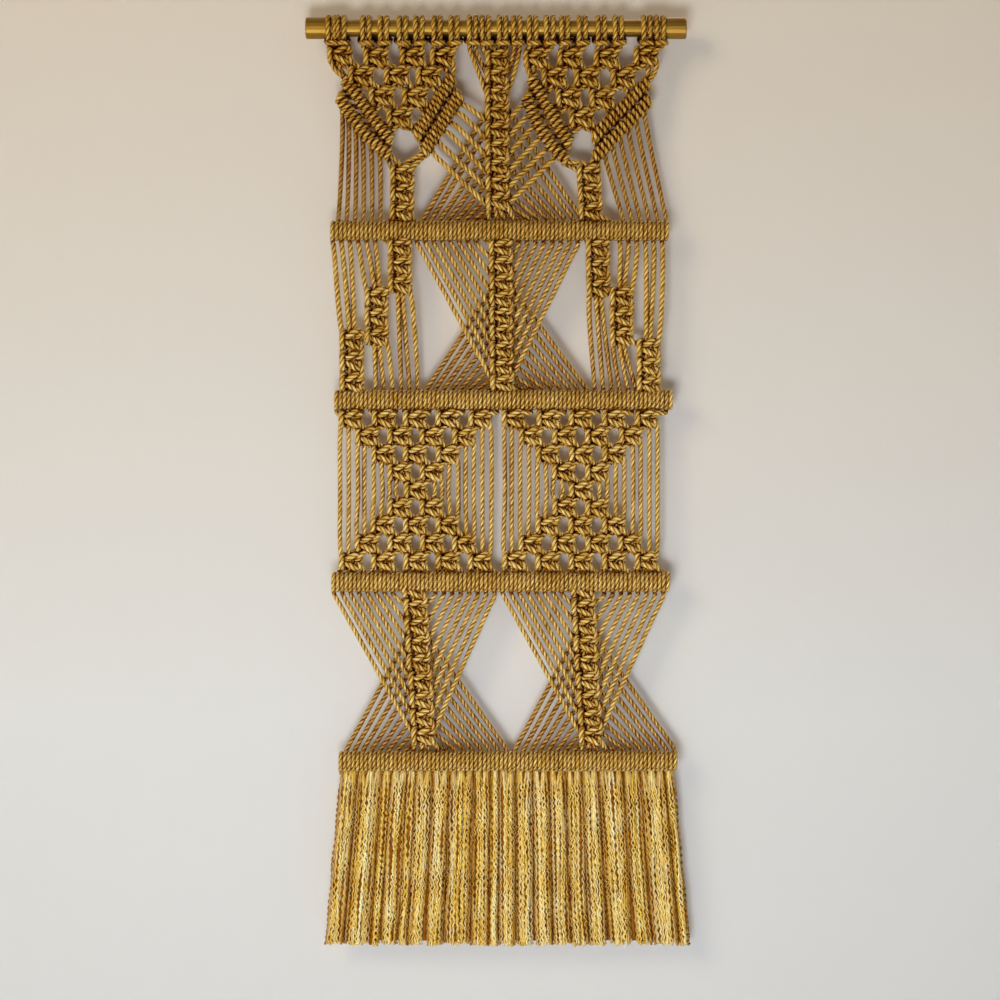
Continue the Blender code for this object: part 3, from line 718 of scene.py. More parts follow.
def frames(line):
    """Two directions across the line at every step, carried along without twist."""
    forward = np.gradient(line, axis=0)
    forward /= np.linalg.norm(forward, axis=1)[:, None]
    across = np.empty_like(line)
    side = np.cross(forward[0], ANY_WAY)
    across[0] = side / np.linalg.norm(side)
    for step in range(1, len(line)):
        side = across[step - 1] - forward[step] * np.dot(across[step - 1], forward[step])
        across[step] = side / math.sqrt(side[0] ** 2 + side[1] ** 2 + side[2] ** 2)
    return across, np.cross(forward, across)


Tube = namedtuple("Tube", "points quads ends line far angles twist")


def sweep(line, angles, radii, twist, swell=None):
    """A closed tube of a twisted section along a line."""
    across, upward = frames(line)
    steps, sides = len(line), len(angles)
    far = np.arange(steps) * np.linalg.norm(line[1] - line[0])
    turned = angles[None, :] + (far * twist)[:, None]
    size = radii[None, :] * (np.ones(steps) if swell is None else swell)[:, None]
    points = (
        line[:, None, :]
        + (np.cos(turned) * size)[:, :, None] * across[:, None, :]
        + (np.sin(turned) * size)[:, :, None] * upward[:, None, :]
    )
    ring = np.arange(steps * sides).reshape(steps, sides)
    near, next_ring = ring[:-1], ring[1:]
    quads = np.stack((near, np.roll(near, -1, 1), np.roll(next_ring, -1, 1), next_ring), axis=2)
    ends = (ring[0][::-1], ring[-1])
    return Tube(points.reshape(-1, 3), quads.reshape(-1, 4), ends, line, far, angles, twist)


print("the cord's section has", len(section), "corners, from", VALLEY, "to", CREST, "mm out")

# %% [markdown]
# ## Painted shade in the nooks between the cords
# Where cords lie close together, little light gets in and cotton looks brown.
# The renderer finds soft shade by itself, but the deep red-brown of packed
# cotton comes from light that bounces among the fibres, so that shade is painted
# into the colour.  The cord in each small cell of space is counted once, and
# every point of a cord looks up how much cord lies just in front of it, which
# sets how much painted shade it gets.  An ambient occlusion node could look for
# the nooks instead, but it would slow every render.

# %% How closely the cords crowd each other
CELL = 1.5
SEARCH = 2.3
MARGIN = 6
BLUR_AXES = (0, 1, 2, 0, 1, 2)


def crowd_grid(lines):
    """Counts how much cord lies in each small cell of space, blurred a little."""
    places = np.concatenate(lines)
    low = places.min(axis=0) - MARGIN * CELL
    size = ((places.max(axis=0) - low) / CELL).astype(int) + 2 * MARGIN
    cells = ((places - low) / CELL).astype(int)
    grid = np.zeros(size, np.float32)
    np.add.at(grid, tuple(cells.T), 1.0)
    for axis in BLUR_AXES:
        grid = (np.roll(grid, 1, axis) + grid + np.roll(grid, -1, axis)) / 3.0
    return grid, low


def crowding(tube, grid, low, bounds):
    """How much painted shade each point of a tube gets, from 0 in the open to 1 in the deepest
    nooks.
    """
    outward = tube.points - np.repeat(tube.line, len(tube.angles), axis=0)
    outward /= np.linalg.norm(outward, axis=1)[:, None]
    cells = ((tube.points + outward * SEARCH - low) / CELL).astype(int)
    cells = np.clip(cells, 0, np.array(grid.shape) - 1)
    return np.clip((grid[tuple(cells.T)] - bounds[0]) / (bounds[1] - bounds[0]), 0.0, 1.0)


print("crowding is looked up in cells of", CELL, "mm")

# %% [markdown]
# ## Many cords in one mesh
# Hundreds of objects would be slow and hard to handle, so neighbouring cords
# share a mesh.  The whole mesh is handed over as arrays, which takes a moment where
# adding the faces one by one would take minutes.

# %% Build a mesh of tubes
FIBRE_TURN = 2.4
FIBRE_LEAN = 0.2
APART = 37.0


def tube_piece(name, tubes, tones, nooks, finish):
    """Builds one mesh.  tones has an array a tube for its section, which on the cords is a painted
    ply shade and highlight; nooks holds each point's painted shade.
    """
    points, loops, totals, fibres = [], [], [], []
    base = 0
    for number, tube in enumerate(tubes):
        points.append(tube.points)
        loops += [(tube.quads + base).ravel(), tube.ends[0] + base, tube.ends[1] + base]
        totals += [np.full(len(tube.quads), 4), np.full(2, len(tube.angles))]
        around = tube.angles[None, :] + (tube.far * tube.twist * FIBRE_LEAN)[:, None]
        along = np.repeat(tube.far, len(tube.angles)) + number * APART
        fibres.append(np.stack((
            FIBRE_TURN * np.cos(around).ravel(), FIBRE_TURN * np.sin(around).ravel(), along,
        ), axis=1))
        base += len(tube.points)
    points = np.concatenate(points) * MM
    loops, totals = np.concatenate(loops), np.concatenate(totals)
    mesh = bpy.data.meshes.new(name)
    mesh.vertices.add(len(points))
    mesh.vertices.foreach_set("co", points.ravel())
    mesh.loops.add(len(loops))
    mesh.loops.foreach_set("vertex_index", loops)
    mesh.polygons.add(len(totals))
    mesh.polygons.foreach_set("loop_start", np.concatenate(((0,), np.cumsum(totals)[:-1])))
    mesh.polygons.foreach_set("loop_total", totals)
    mesh.update(calc_edges=True)
    mesh.shade_smooth()
    fibre = mesh.attributes.new("fibre", "FLOAT_VECTOR", "POINT")
    fibre.data.foreach_set("vector", np.concatenate(fibres).ravel())
    shades = np.concatenate([np.tile(tone_and_ply_shade, len(tube.far)) for tone_and_ply_shade, tube in zip(tones, tubes)])
    for name_kept, values in (("tone_and_ply_shade", shades), ("painted_nook_shade", np.concatenate(nooks))):
        mesh.attributes.new(name_kept, "FLOAT", "POINT").data.foreach_set("value", values)
    mesh.materials.append(finish)
    piece = bpy.data.objects.new(name, mesh)
    bpy.context.scene.collection.objects.link(piece)
    print(f"{name}: {len(tubes)} tubes, {int((totals - 2).sum())} triangles")
    return piece


print("fibres lean by", FIBRE_LEAN, "of the lay")

# %% [markdown]
# ## Small steps of a finish
# A finish is a chain of nodes that ends in one shader.  The same few steps come
# back in cotton and wall, so each becomes a function: make a node, spread
# colours over a range, scale and add, multiply two colours, and colour by height.
# The chain could also be drawn by hand in the node editor, but then it would
# have to be drawn again for every finish.

# %% Helpers for materials
WHITE = (1.0, 1.0, 1.0)


def new_finish(name):
    """An empty finish, with its nodes, its links and its shader."""
    finish = bpy.data.materials.new(name)
    finish.use_nodes = True
    nodes = finish.node_tree.nodes
    shader = nodes["Principled BSDF"]
    return finish, nodes, finish.node_tree.links, shader


def node(nodes, kind, **settings):
    """A new node.  Each setting is one of its inputs, or else one of its options."""
    made = nodes.new(kind)
    for key, value in settings.items():
        if key in made.inputs:
            made.inputs[key].default_value = value
        else:
            setattr(made, key, value)
    return made


def ramp(nodes, stops):
    """Colours spread over a range, from pairs of a position and a colour."""
    stops = list(stops)
    made = nodes.new("ShaderNodeValToRGB")
    elements = made.color_ramp.elements
    while len(elements) < len(stops):
        elements.new(0.5)
    for element, (position, colour) in zip(elements, stops):
        element.position = position
        element.color = (*colour, 1.0)
    return made


def scale_and_add(nodes, links, source, factor, added):
    """source times factor plus added, which is a number or another socket."""
    made = node(nodes, "ShaderNodeMath", operation="MULTIPLY_ADD")
    made.inputs[1].default_value = factor
    links.new(source, made.inputs[0])
    if isinstance(added, float):
        made.inputs[2].default_value = added
    else:
        links.new(added, made.inputs[2])
    return made.outputs["Value"]


def multiply_colours(nodes, links, colour, shade):
    """One colour darkened by another."""
    made = node(nodes, "ShaderNodeMix", data_type="RGBA", blend_type="MULTIPLY")
    made.inputs["Factor"].default_value = 1.0
    links.new(colour, made.inputs["A"])
    links.new(shade, made.inputs["B"])
    return made.outputs["Result"]


def colour_by_height(nodes, links, place, low, high, stops):
    """Colours spread between two heights, in metres."""
    axes = node(nodes, "ShaderNodeSeparateXYZ")
    links.new(place.outputs["Object"], axes.inputs[0])
    height = node(nodes, "ShaderNodeMapRange")
    height.inputs["From Min"].default_value = low
    height.inputs["From Max"].default_value = high
    links.new(axes.outputs["Z"], height.inputs["Value"])
    made = ramp(nodes, stops)
    links.new(height.outputs["Result"], made.inputs["Fac"])
    return made.outputs["Color"]


print("six small helpers are ready for every finish")

# %% [markdown]
# ## The finish of the cord
# The cord is soft golden cotton.  Its plies get a painted shade in the valleys
# between them and a painted highlight on their crests, fine fibres run along
# each ply, and the whole hanging drifts a little from straw to ochre.  Two more
# things are multiplied in: a painted red-brown shade in the nooks where cords
# crowd each other, and a painted shade that darkens the cords towards the rod.
# The fibres are a noise that is stretched along the cord, and they also raise
# the surface a little.  A picture of cotton could be wrapped on instead, but it
# would not follow the lay round every knot.

# %% Golden cotton
# The dark end of this ramp is also the painted shade of the ply valleys, and the light end the
# painted highlight on their crests.
COTTON_DARK_AND_VALLEY_SHADE = (0.14, 0.028, 0.0)
COTTON_MID = (0.54, 0.275, 0.010)
COTTON_LIGHT_AND_CREST_HIGHLIGHT = (1.0, 0.77, 0.30)
TONE_AND_PLY_SHADE_SHARE = 0.7
DRIFT = 0.3
# Painted shade: the colours that cotton is darkened towards where cords crowd each other.
PAINTED_SHADE_HALF = (0.40, 0.195, 0.045)
PAINTED_SHADE_DEEP = (0.075, 0.01, 0.0)
# Painted shade: the cotton darkens from this height, in metres, up to the rod, towards this
# colour.
PAINTED_TOP_SHADE_FROM = -0.34
PAINTED_TOP_SHADE = (0.77, 0.665, 0.42)
DRIFT_SCALE = 26.0
FIBRE_HEIGHT = 0.0006
COTTON_ROUGHNESS = 0.45
COTTON_SHINE = 0.12
COTTON_SHINE_TINT = (1.0, 0.78, 0.4, 1.0)


def cotton(name, tones, yarn_scale, stretched, streaks, bump):
    """tones are the dark, middle and light colour of the cotton."""
    finish, nodes, links, shader = new_finish(name)
    fibre = node(nodes, "ShaderNodeAttribute", attribute_name="fibre")
    tone_and_ply_shade = node(nodes, "ShaderNodeAttribute", attribute_name="tone_and_ply_shade")
    painted_nook_shade = node(nodes, "ShaderNodeAttribute", attribute_name="painted_nook_shade")
    stretch = node(nodes, "ShaderNodeMapping")
    stretch.inputs["Scale"].default_value = (1.0, 1.0, stretched)
    links.new(fibre.outputs["Vector"], stretch.inputs["Vector"])
    yarns = node(nodes, "ShaderNodeTexNoise", Scale=yarn_scale, Detail=3.0, Roughness=0.7)
    links.new(stretch.outputs["Vector"], yarns.inputs["Vector"])
    place = node(nodes, "ShaderNodeTexCoord")
    drift = node(nodes, "ShaderNodeTexNoise", Scale=DRIFT_SCALE, Detail=2.0)
    links.new(place.outputs["Object"], drift.inputs["Vector"])
    centred = 0.5 - 0.5 * (TONE_AND_PLY_SHADE_SHARE + DRIFT + streaks)
    wander = scale_and_add(nodes, links, drift.outputs["Fac"], DRIFT, centred)
    streaked = scale_and_add(nodes, links, yarns.outputs["Fac"], streaks, wander)
    # Painted ply shade and highlight: on the cords the point attribute read here moves ply valleys
    # towards the dark colour and crests towards the light one; on the yarns it varies at random,
    # and the lock bodies have it low for their painted shade.
    level = scale_and_add(nodes, links, tone_and_ply_shade.outputs["Fac"], TONE_AND_PLY_SHADE_SHARE, streaked)
    colours = ramp(nodes, zip((0.0, 0.5, 1.0), tones))
    links.new(level, colours.inputs["Fac"])
    # Painted shade: darker towards red-brown where cords crowd each other.
    painted_shade_colours = ramp(nodes, zip((0.0, 0.5, 1.0), (WHITE, PAINTED_SHADE_HALF, PAINTED_SHADE_DEEP)))
    links.new(painted_nook_shade.outputs["Fac"], painted_shade_colours.inputs["Fac"])
    shaded = multiply_colours(nodes, links, colours.outputs["Color"], painted_shade_colours.outputs["Color"])
    # Painted shade: darker towards the rod at the top.
    painted_top_shades = colour_by_height(nodes, links, place, PAINTED_TOP_SHADE_FROM, 0.0, ((0.0, WHITE), (1.0, PAINTED_TOP_SHADE)))
    top_shaded_colours = multiply_colours(nodes, links, shaded, painted_top_shades)
    links.new(top_shaded_colours, shader.inputs["Base Color"])
    raised = node(nodes, "ShaderNodeBump", Strength=bump, Distance=FIBRE_HEIGHT)
    links.new(yarns.outputs["Fac"], raised.inputs["Height"])
    links.new(raised.outputs["Normal"], shader.inputs["Normal"])
    shader.inputs["Roughness"].default_value = COTTON_ROUGHNESS
    shader.inputs["Specular IOR Level"].default_value = COTTON_SHINE
    shader.inputs["Specular Tint"].default_value = COTTON_SHINE_TINT
    return finish


golden_cotton = cotton(
    "golden_cotton", (COTTON_DARK_AND_VALLEY_SHADE, COTTON_MID, COTTON_LIGHT_AND_CREST_HIGHLIGHT),
    yarn_scale=0.42, stretched=0.16, streaks=1.7, bump=1.0,
)
print("made", golden_cotton.name)

# %% [markdown]
# ## Sweep the cords
# The two strands of a head are one cord, so the left route is turned round and
# joined to the right one at the fold.  Five cords share a mesh.  The painted
# shade of each point is worked out here too: the cords behind and below the rod
# get a deep painted shade on their side towards the room, which is what shows
# dark between the heads.

# %% The knotted cords
CORDS_A_PIECE = 5
CORD_TWIST = 2 * math.pi / LAY
# Painted shade: how crowding, the bars and strands that lie behind set the shade painted on the
# cords.
CROWD_BOUNDS = (0.011, 0.06)
BAR_SHADE = 0.55
BACK_SHADE = 0.25
BAR_EDGE = 2.5
# Painted shade under the rod: its height, its half reach and how far forward it comes.
UNDER_ROD = -10.8
UNDER_ROD_HALF = 3.6
UNDER_ROD_FRONT = -3.0


def facing_room(tube):
    """True for the points on the side of a tube that faces away from the wall."""
    return tube.points[:, 1] < np.repeat(tube.line[:, 1], len(tube.angles))


def cord_shade(tube):
    """Painted shade for each point: crowding shade, less of it in the wraps of a bar, more on
    strands that lie behind, and a deep one under the rod.
    """
    beside = np.min([np.abs(tube.points[:, 2] - z) for x, z in BARS.values()], axis=0)
    on_bar = beside < BAR_RADIUS + BAR_EDGE
    painted_crowd_shade = crowding(tube, *cord_grid, CROWD_BOUNDS) * np.where(on_bar, BAR_SHADE, 1.0)
    behind = np.clip(tube.points[:, 1] / BACK_LAYER, 0.0, 1.0) * BACK_SHADE
    # Painted shade under the rod, on the side of a cord that faces the room.
    from_rod = np.abs(tube.points[:, 2] - UNDER_ROD)
    painted_shade_under_rod = np.clip(2.0 - 2.0 * from_rod / UNDER_ROD_HALF, 0.0, 1.0)
    painted_shade_under_rod *= (tube.points[:, 1] > UNDER_ROD_FRONT) & facing_room(tube)
    return np.clip(painted_crowd_shade + np.where(on_bar, 0.0, behind) + painted_shade_under_rod, 0.0, 1.0)


cord_tubes = []
cord_length = 0.0
for cord in range(STRANDS // 2):
    whole = routes[2 * cord][::-1] + routes[2 * cord + 1][1:]
    line, full, length = smooth_route(whole, STEP)
    cord_length += length
    cord_tubes.append(sweep(line, cord_angles, cord_radii, CORD_TWIST, full))
cord_grid = crowd_grid([tube.line for tube in cord_tubes])
# The painted shade of every point of the cords.
cord_painted_shade = [cord_shade(tube) for tube in cord_tubes]
for first in range(0, len(cord_tubes), CORDS_A_PIECE):
    chosen = slice(first, first + CORDS_A_PIECE)
    name = f"cords_{first // CORDS_A_PIECE + 1}"
    tones = [painted_ply_shade_and_highlight] * CORDS_A_PIECE
    cords = tube_piece(name, cord_tubes[chosen], tones, cord_painted_shade[chosen], golden_cotton)
    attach(cords, "root")
    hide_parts("knotted_panel")
print(f"the cords are {cord_length / 1000:.1f} m long in all")

# %% [markdown]
# ## The hearts of the bars
# Inside each level bar lies a bundle of the same cord.  It is seen only at the
# bar's two ends and between the wraps, so plain straight cords in a ring do.

# %% Four bar hearts
HEART_COUNT = 5
HEART_RING = 3.5
HEART_LENGTH = 312.0
HEART_STEPS = 60
heart_tubes = []
for bar, (x, z) in BARS.items():
    for number in range(HEART_COUNT):
        turn = 2 * math.pi * number / HEART_COUNT
        y, up = HEART_RING * math.cos(turn), HEART_RING * math.sin(turn)
        ends_x = (x - HEART_LENGTH / 2, x + HEART_LENGTH / 2)
        line = np.array([(along, y, z + up) for along in np.linspace(*ends_x, HEART_STEPS)])
        heart_tubes.append(sweep(line, cord_angles, cord_radii, CORD_TWIST))
# The hearts get the same painted shade.
heart_painted_shade = [cord_shade(tube) for tube in heart_tubes]
heart_tones = [painted_ply_shade_and_highlight] * len(heart_tubes)
hearts = tube_piece("bar_hearts", heart_tubes, heart_tones, heart_painted_shade, golden_cotton)
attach(hearts, "root")
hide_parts("knotted_panel")

# %% [markdown]
# ## The fringe
# Below the last bar each strand is untwisted and combed.  The yarns keep the
# wave of their old twist, so they hang in crimped locks that lean together in
# clumps of one to three.  Hair curves could make such a fringe, but plain tubes
# keep every yarn a solid shape.

# %% Forty combed strands
FRINGE_TOP = -694.0
FRINGE_BOTTOM = -859.0
FRINGE_MIDDLE = 10.3
TOP_WIDTH = 310.0
BOTTOM_WIDTH = 341.0
OPENING = 8.0
TIGHT = 0.3
GATHER = 1.7
CLUMP_SIZES = (2, 2, 2, 1, 3)
CLUMP_REPEATS = 4
LEAN = 0.4
BOW = 0.8
BOWS = (1.2, 2.6)
DEPTH = 1.0
CLUMP_REACH = 4.2
LOCK_ENDS = (0.0, 2.0)
comb = np.random.default_rng(23)


def lock_line(lock, fall):
    """The middle of a combed strand, and how far it has opened, down its fall."""
    across = (lock["number"] + 0.5) / STRANDS - 0.5
    width = TOP_WIDTH + (BOTTOM_WIDTH - TOP_WIDTH) * fall
    x = FRINGE_MIDDLE + across * width + lock["lean"] * np.sin(fall * math.pi * 0.5)
    x = x + lock["bend"] * np.sin(fall * lock["bends"] * math.pi + lock["phase"]) * fall
    y = lock["depth"] * np.clip(fall * OPENING, 0.0, 1.0)
    opened = np.clip(TIGHT + fall * OPENING * (1.0 - TIGHT), 0.0, 1.0)
    return x, y, opened


locks = []
gathers = comb.permutation(np.repeat(CLUMP_SIZES, CLUMP_REPEATS))
gathered = [clump for clump, members in enumerate(gathers) for _ in range(members)][:STRANDS]
for number in range(STRANDS):
    members = [other for other in range(STRANDS) if gathered[other] == gathered[number]]
    towards = (sum(members) / len(members) - number) * GATHER
    locks.append({
        "number": number,
        "lean": towards + comb.normal(0.0, LEAN),
        "bend": comb.normal(0.0, BOW),
        "bends": comb.uniform(*BOWS),
        "phase": comb.uniform(0.0, 2 * math.pi),
        "depth": comb.normal(0.0, DEPTH),
        "middle": (sum(members) + 0.5 * len(members)) / len(members) / STRANDS - 0.5,
        "reach": CLUMP_REACH * len(members),
        "end": comb.uniform(*LOCK_ENDS),
    })
print(len(locks), "locks reach down to", FRINGE_BOTTOM, "mm in", gathered[-1] + 1, "clumps")

# %% [markdown]
# ## Crimped yarns
# Nine yarns make up each cord, three in each ply.  Once combed, each keeps a
# wave of five to nine millimetres, out of step with its neighbours, and seven of
# the nine lie on the front and sides of their lock.  A yarn is a thin three-sided
# tube, because hundreds of rounder ones would make the mesh too heavy.

# %% Comb the yarns
YARN_RADIUS = 1.24
YARN_STEP = 1.34
CRIMP = 6.2
CRIMP_ACROSS = 0.68
CRIMP_DEEP = 0.35
LOCK_HALF_WIDTH = 4.2
LOCK_HALF_DEPTH = 3.6
DOME = 3.6
SEATS = (0.0, 30.0, 60.0, 90.0, 120.0, 150.0, 180.0, 235.0, 305.0)
YARN_TWIST = 0.05
YARN_ENDS = 1.8
SEAT_SLIP = 0.16
AWAY = (0.8, 1.12)
DRAWL = (0.3, 0.9)
DRAWL_LENGTHS = (7.0, 12.0)
START = (0.0, 6.0)
CRIMP_SHARES = (0.8, 1.5)
SWELL_LENGTHS = (5.0, 9.0)
ROAM = 0.9
ROAMS = (4.0, 12.0)
DEEP_PHASE = 0.7
SWELL = (0.95, 0.4)
CRIMP_START = 0.15
FAR_FROM_CLUMP = 1.2
yarn_angles = np.radians((0.0, 120.0, 240.0))
yarn_radii = np.full(3, YARN_RADIUS)


def dome(lock, fall, x, y, z):
    """Sets a line back the further it lies from the middle of its clump."""
    middle = FRINGE_MIDDLE + lock["middle"] * (TOP_WIDTH + (BOTTOM_WIDTH - TOP_WIDTH) * fall)
    beside = np.clip(np.abs(x - middle) / lock["reach"], 0.0, FAR_FROM_CLUMP) ** 2
    y = y + DOME * beside * np.clip(fall * OPENING, 0.0, 1.0)
    return np.stack((x, y, z), axis=1), beside


def yarn_line(lock, seat):
    """The crimped middle line of one yarn.  seat is its direction from the lock's middle."""
    end_z = FRINGE_BOTTOM + lock["end"] + abs(comb.normal(0.0, YARN_ENDS))
    fall = np.linspace(0.0, 1.0, int((FRINGE_TOP - end_z) / YARN_STEP))
    z = FRINGE_TOP + (end_z - FRINGE_TOP) * fall
    x, y, opened = lock_line(lock, fall)
    turn = math.radians(seat) + comb.normal(0.0, SEAT_SLIP)
    away = comb.uniform(*AWAY)
    drawl = comb.uniform(*DRAWL) * np.sin(-z / comb.uniform(*DRAWL_LENGTHS) + comb.uniform(*START))
    crimp = CRIMP * comb.uniform(*CRIMP_SHARES)
    wave = 2 * math.pi * -z / crimp + comb.uniform(0.0, 2 * math.pi) + drawl
    swell = SWELL[0] + SWELL[1] * np.sin(-z / comb.uniform(*SWELL_LENGTHS))
    size = np.clip(fall * OPENING, CRIMP_START, 1.0) * swell
    roam = comb.normal(0.0, ROAM) * np.sin(fall * comb.uniform(*ROAMS) + comb.uniform(*START))
    wide = away * math.cos(turn) * LOCK_HALF_WIDTH * opened
    deep = away * math.sin(turn) * LOCK_HALF_DEPTH * opened
    x = x + wide + roam + CRIMP_ACROSS * size * np.cos(wave)
    y = y - deep + CRIMP_DEEP * size * np.sin(wave + DEEP_PHASE)
    return dome(lock, fall, x, y, z)


yarn_tubes, sides = [], []
for lock in locks:
    for seat in SEATS:
        line, beside = yarn_line(lock, seat)
        yarn_tubes.append(sweep(line, yarn_angles, yarn_radii, YARN_TWIST))
        sides.append(np.repeat(beside, len(yarn_angles)))
FACE_TONES = (0.25, 1.0)
YARN_TONES = (-0.1, 0.15)
yarn_tones = [comb.uniform(*FACE_TONES, 3) + comb.uniform(*YARN_TONES) for tube in yarn_tubes]
yarn_grid = crowd_grid([tube.line for tube in yarn_tubes])
print(len(yarn_tubes), "yarns are combed")

# %% [markdown]
# ## The finish of the fringe
# Combed cotton is paler than laid cord, because its fibres stand open to the
# light.  It is the same finish with lighter tones.  The yarns get a painted
# shade towards the sides of their clump and where they crowd each other, so that
# the clumps stay apart.

# %% Finish the fringe
# Painted shade: how crowding and the sides of a clump darken the yarns.
YARN_BOUNDS = (0.2, 0.42)
CROWD_SHADE = 0.22
SIDE_SHADE = 0.5
yarn_painted_shade = [
    np.clip(CROWD_SHADE * crowding(tube, *yarn_grid, YARN_BOUNDS) + SIDE_SHADE * side, 0.0, 1.0)
    for tube, side in zip(yarn_tubes, sides)
]
YARN_DARK = (0.38, 0.17, 0.0)
YARN_MID = (0.98, 0.66, 0.11)
YARN_LIGHT = (1.0, 0.93, 0.56)
combed_cotton = cotton(
    "combed_cotton", (YARN_DARK, YARN_MID, YARN_LIGHT),
    yarn_scale=0.36, stretched=0.36, streaks=2.0, bump=0.7,
)
half = len(yarn_tubes) // 2
for name, chosen in (("fringe_left", slice(0, half)), ("fringe_right", slice(half, None))):
    tones, nooks = yarn_tones[chosen], yarn_painted_shade[chosen]
    yarns = tube_piece(name, yarn_tubes[chosen], tones, nooks, combed_cotton)
    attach(yarns, "root")
    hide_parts("fringe")

# %% [markdown]
# ## Packed yarn inside the locks
# A real lock holds far more fibre than nine tubes can show, and no light comes
# through it.  So each lock gets a plain body a little behind its yarns, and
# another one closes the gap to the next lock.  The bodies are painted darker
# than the yarns, with a deeper painted shade on their side towards the room,
# for the shade inside a lock.

# %% The body inside each lock
BODY_SIDES = 6
BODY_STEPS = 28
BODY_SHARE = 0.62
BODY_SHORT = 5.0
# Painted shade: the bodies sit low on the cotton's colour ramp, and get more shade on their side
# towards the room than towards the wall.
BODY_SHADED_TONE = 0.4
BODY_PAINTED_SHADE = (0.55, 0.1)
body_angles = np.radians(np.arange(BODY_SIDES) * 360.0 / BODY_SIDES)
body_radii = np.full(BODY_SIDES, LOCK_HALF_WIDTH * BODY_SHARE)
BEHIND_LOCKS = (1.2, 2.6)
fall = np.linspace(0.0, 1.0, BODY_STEPS)
z = FRINGE_TOP + (FRINGE_BOTTOM + BODY_SHORT - FRINGE_TOP) * fall
places = [(*lock_line(lock, fall)[:2], lock) for lock in locks]
opened = lock_line(locks[0], fall)[2]
body_lines = [dome(lock, fall, x, y + BEHIND_LOCKS[0], z)[0] for x, y, lock in places]
for (x, y, lock), (next_x, next_y, _) in zip(places, places[1:]):
    between_y = (y + next_y) / 2 + BEHIND_LOCKS[1]
    body_lines.append(dome(lock, fall, (x + next_x) / 2, between_y, z)[0])
body_tubes = [sweep(line, body_angles, body_radii, 0.0, opened) for line in body_lines]
body_tones = [np.full(BODY_SIDES, BODY_SHADED_TONE) for tube in body_tubes]
body_painted_shade = [np.where(facing_room(tube), *BODY_PAINTED_SHADE) for tube in body_tubes]
bodies = tube_piece("fringe_bodies", body_tubes, body_tones, body_painted_shade, combed_cotton)
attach(bodies, "root")
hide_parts("fringe")

# %% [markdown]
# ## Brass rod and caps
# The rod and caps are plain turned brass, brushed round their axis, so their
# shapes from the solids are already right.  They only need the finish: a warm
# metal with fine rings round the axis and a slightly uneven polish.

# %% Brushed brass
BRASS = (0.40, 0.225, 0.04)
BRASS_WORN = (0.32, 0.17, 0.024)
RING_STRETCH = 60.0
CLOUD_SCALE = 35.0
POLISH = (0.36, 0.52)
RING_HEIGHT = 0.0002


def brushed_brass(name, ring_scale):
    """Brass with fine rings round X.  ring_scale sets how closely they lie."""
    finish, nodes, links, shader = new_finish(name)
    place = node(nodes, "ShaderNodeTexCoord")
    rings = node(nodes, "ShaderNodeMapping")
    rings.inputs["Scale"].default_value = (ring_scale, RING_STRETCH, RING_STRETCH)
    links.new(place.outputs["Object"], rings.inputs["Vector"])
    brush = node(nodes, "ShaderNodeTexNoise", Scale=1.0, Detail=4.0, Roughness=0.65)
    links.new(rings.outputs["Vector"], brush.inputs["Vector"])
    clouds = node(nodes, "ShaderNodeTexNoise", Scale=CLOUD_SCALE, Detail=2.0)
    links.new(place.outputs["Object"], clouds.inputs["Vector"])
    colours = ramp(nodes, ((0.3, BRASS_WORN), (0.7, BRASS)))
    links.new(clouds.outputs["Fac"], colours.inputs["Fac"])
    links.new(colours.outputs["Color"], shader.inputs["Base Color"])
    polish = node(nodes, "ShaderNodeMapRange")
    polish.inputs["To Min"].default_value = POLISH[0]
    polish.inputs["To Max"].default_value = POLISH[1]
    links.new(brush.outputs["Fac"], polish.inputs["Value"])
    links.new(polish.outputs["Result"], shader.inputs["Roughness"])
    raised = node(nodes, "ShaderNodeBump", Strength=0.25, Distance=RING_HEIGHT)
    links.new(brush.outputs["Fac"], raised.inputs["Height"])
    links.new(raised.outputs["Normal"], shader.inputs["Normal"])
    shader.inputs["Metallic"].default_value = 1.0
    return finish


rod_brass = brushed_brass("rod_brass", 1400.0)
cap_brass = brushed_brass("cap_brass", 2200.0)
for name, piece in frame["nodes"].items():
    if "cap" in name or name == "rod":
        chosen = rod_brass if name == "rod" else cap_brass
        for slot_number in range(len(piece.material_slots)):
            piece.material_slots[slot_number].material = chosen
        print(name, "is finished in", chosen.name)

# %% [markdown]
# ## The stage
# A pale plastered wall stands just behind the hanging and a pale floor lies far
# below.  The wall's colour goes from a plain grey at its foot to a warm cream
# above, which stands in for the glow of a lamp that would be costly to light.
# Seen from its back the wall is clear, so that the hanging can also be looked at
# from behind.

# %% Wall and floor
WALL_Y = 0.028
# Painted light: these colours paint a lamp's glow on the wall, grey at its foot and warm cream
# above.
WALL_FOOT = (0.655, 0.655, 0.655)
WALL_LOW = (0.73, 0.725, 0.715)
WALL_HIGH = (0.74, 0.65, 0.545)
WALL_FADE = (-1.0, 0.1)
WALL_STOPS = ((0.0, WALL_FOOT), (0.32, WALL_LOW), (1.0, WALL_HIGH))
WALL_TOP = 3
HALF_ROOM = 4
FLOOR_Z = -1.35


def flat_stage(name, corners, finish):
    """One flat sheet of the stage."""
    mesh = bpy.data.meshes.new(name)
    mesh.from_pydata(corners, [], [(0, 1, 2, 3)])
    mesh.materials.append(finish)
    made = bpy.data.objects.new(name, mesh)
    bpy.context.scene.collection.objects.link(made)
    return made


wall_finish, wall_nodes, wall_links, wall_shader = new_finish("pale_wall")
wall_shader.inputs["Roughness"].default_value = 0.9
wall_place = node(wall_nodes, "ShaderNodeTexCoord")
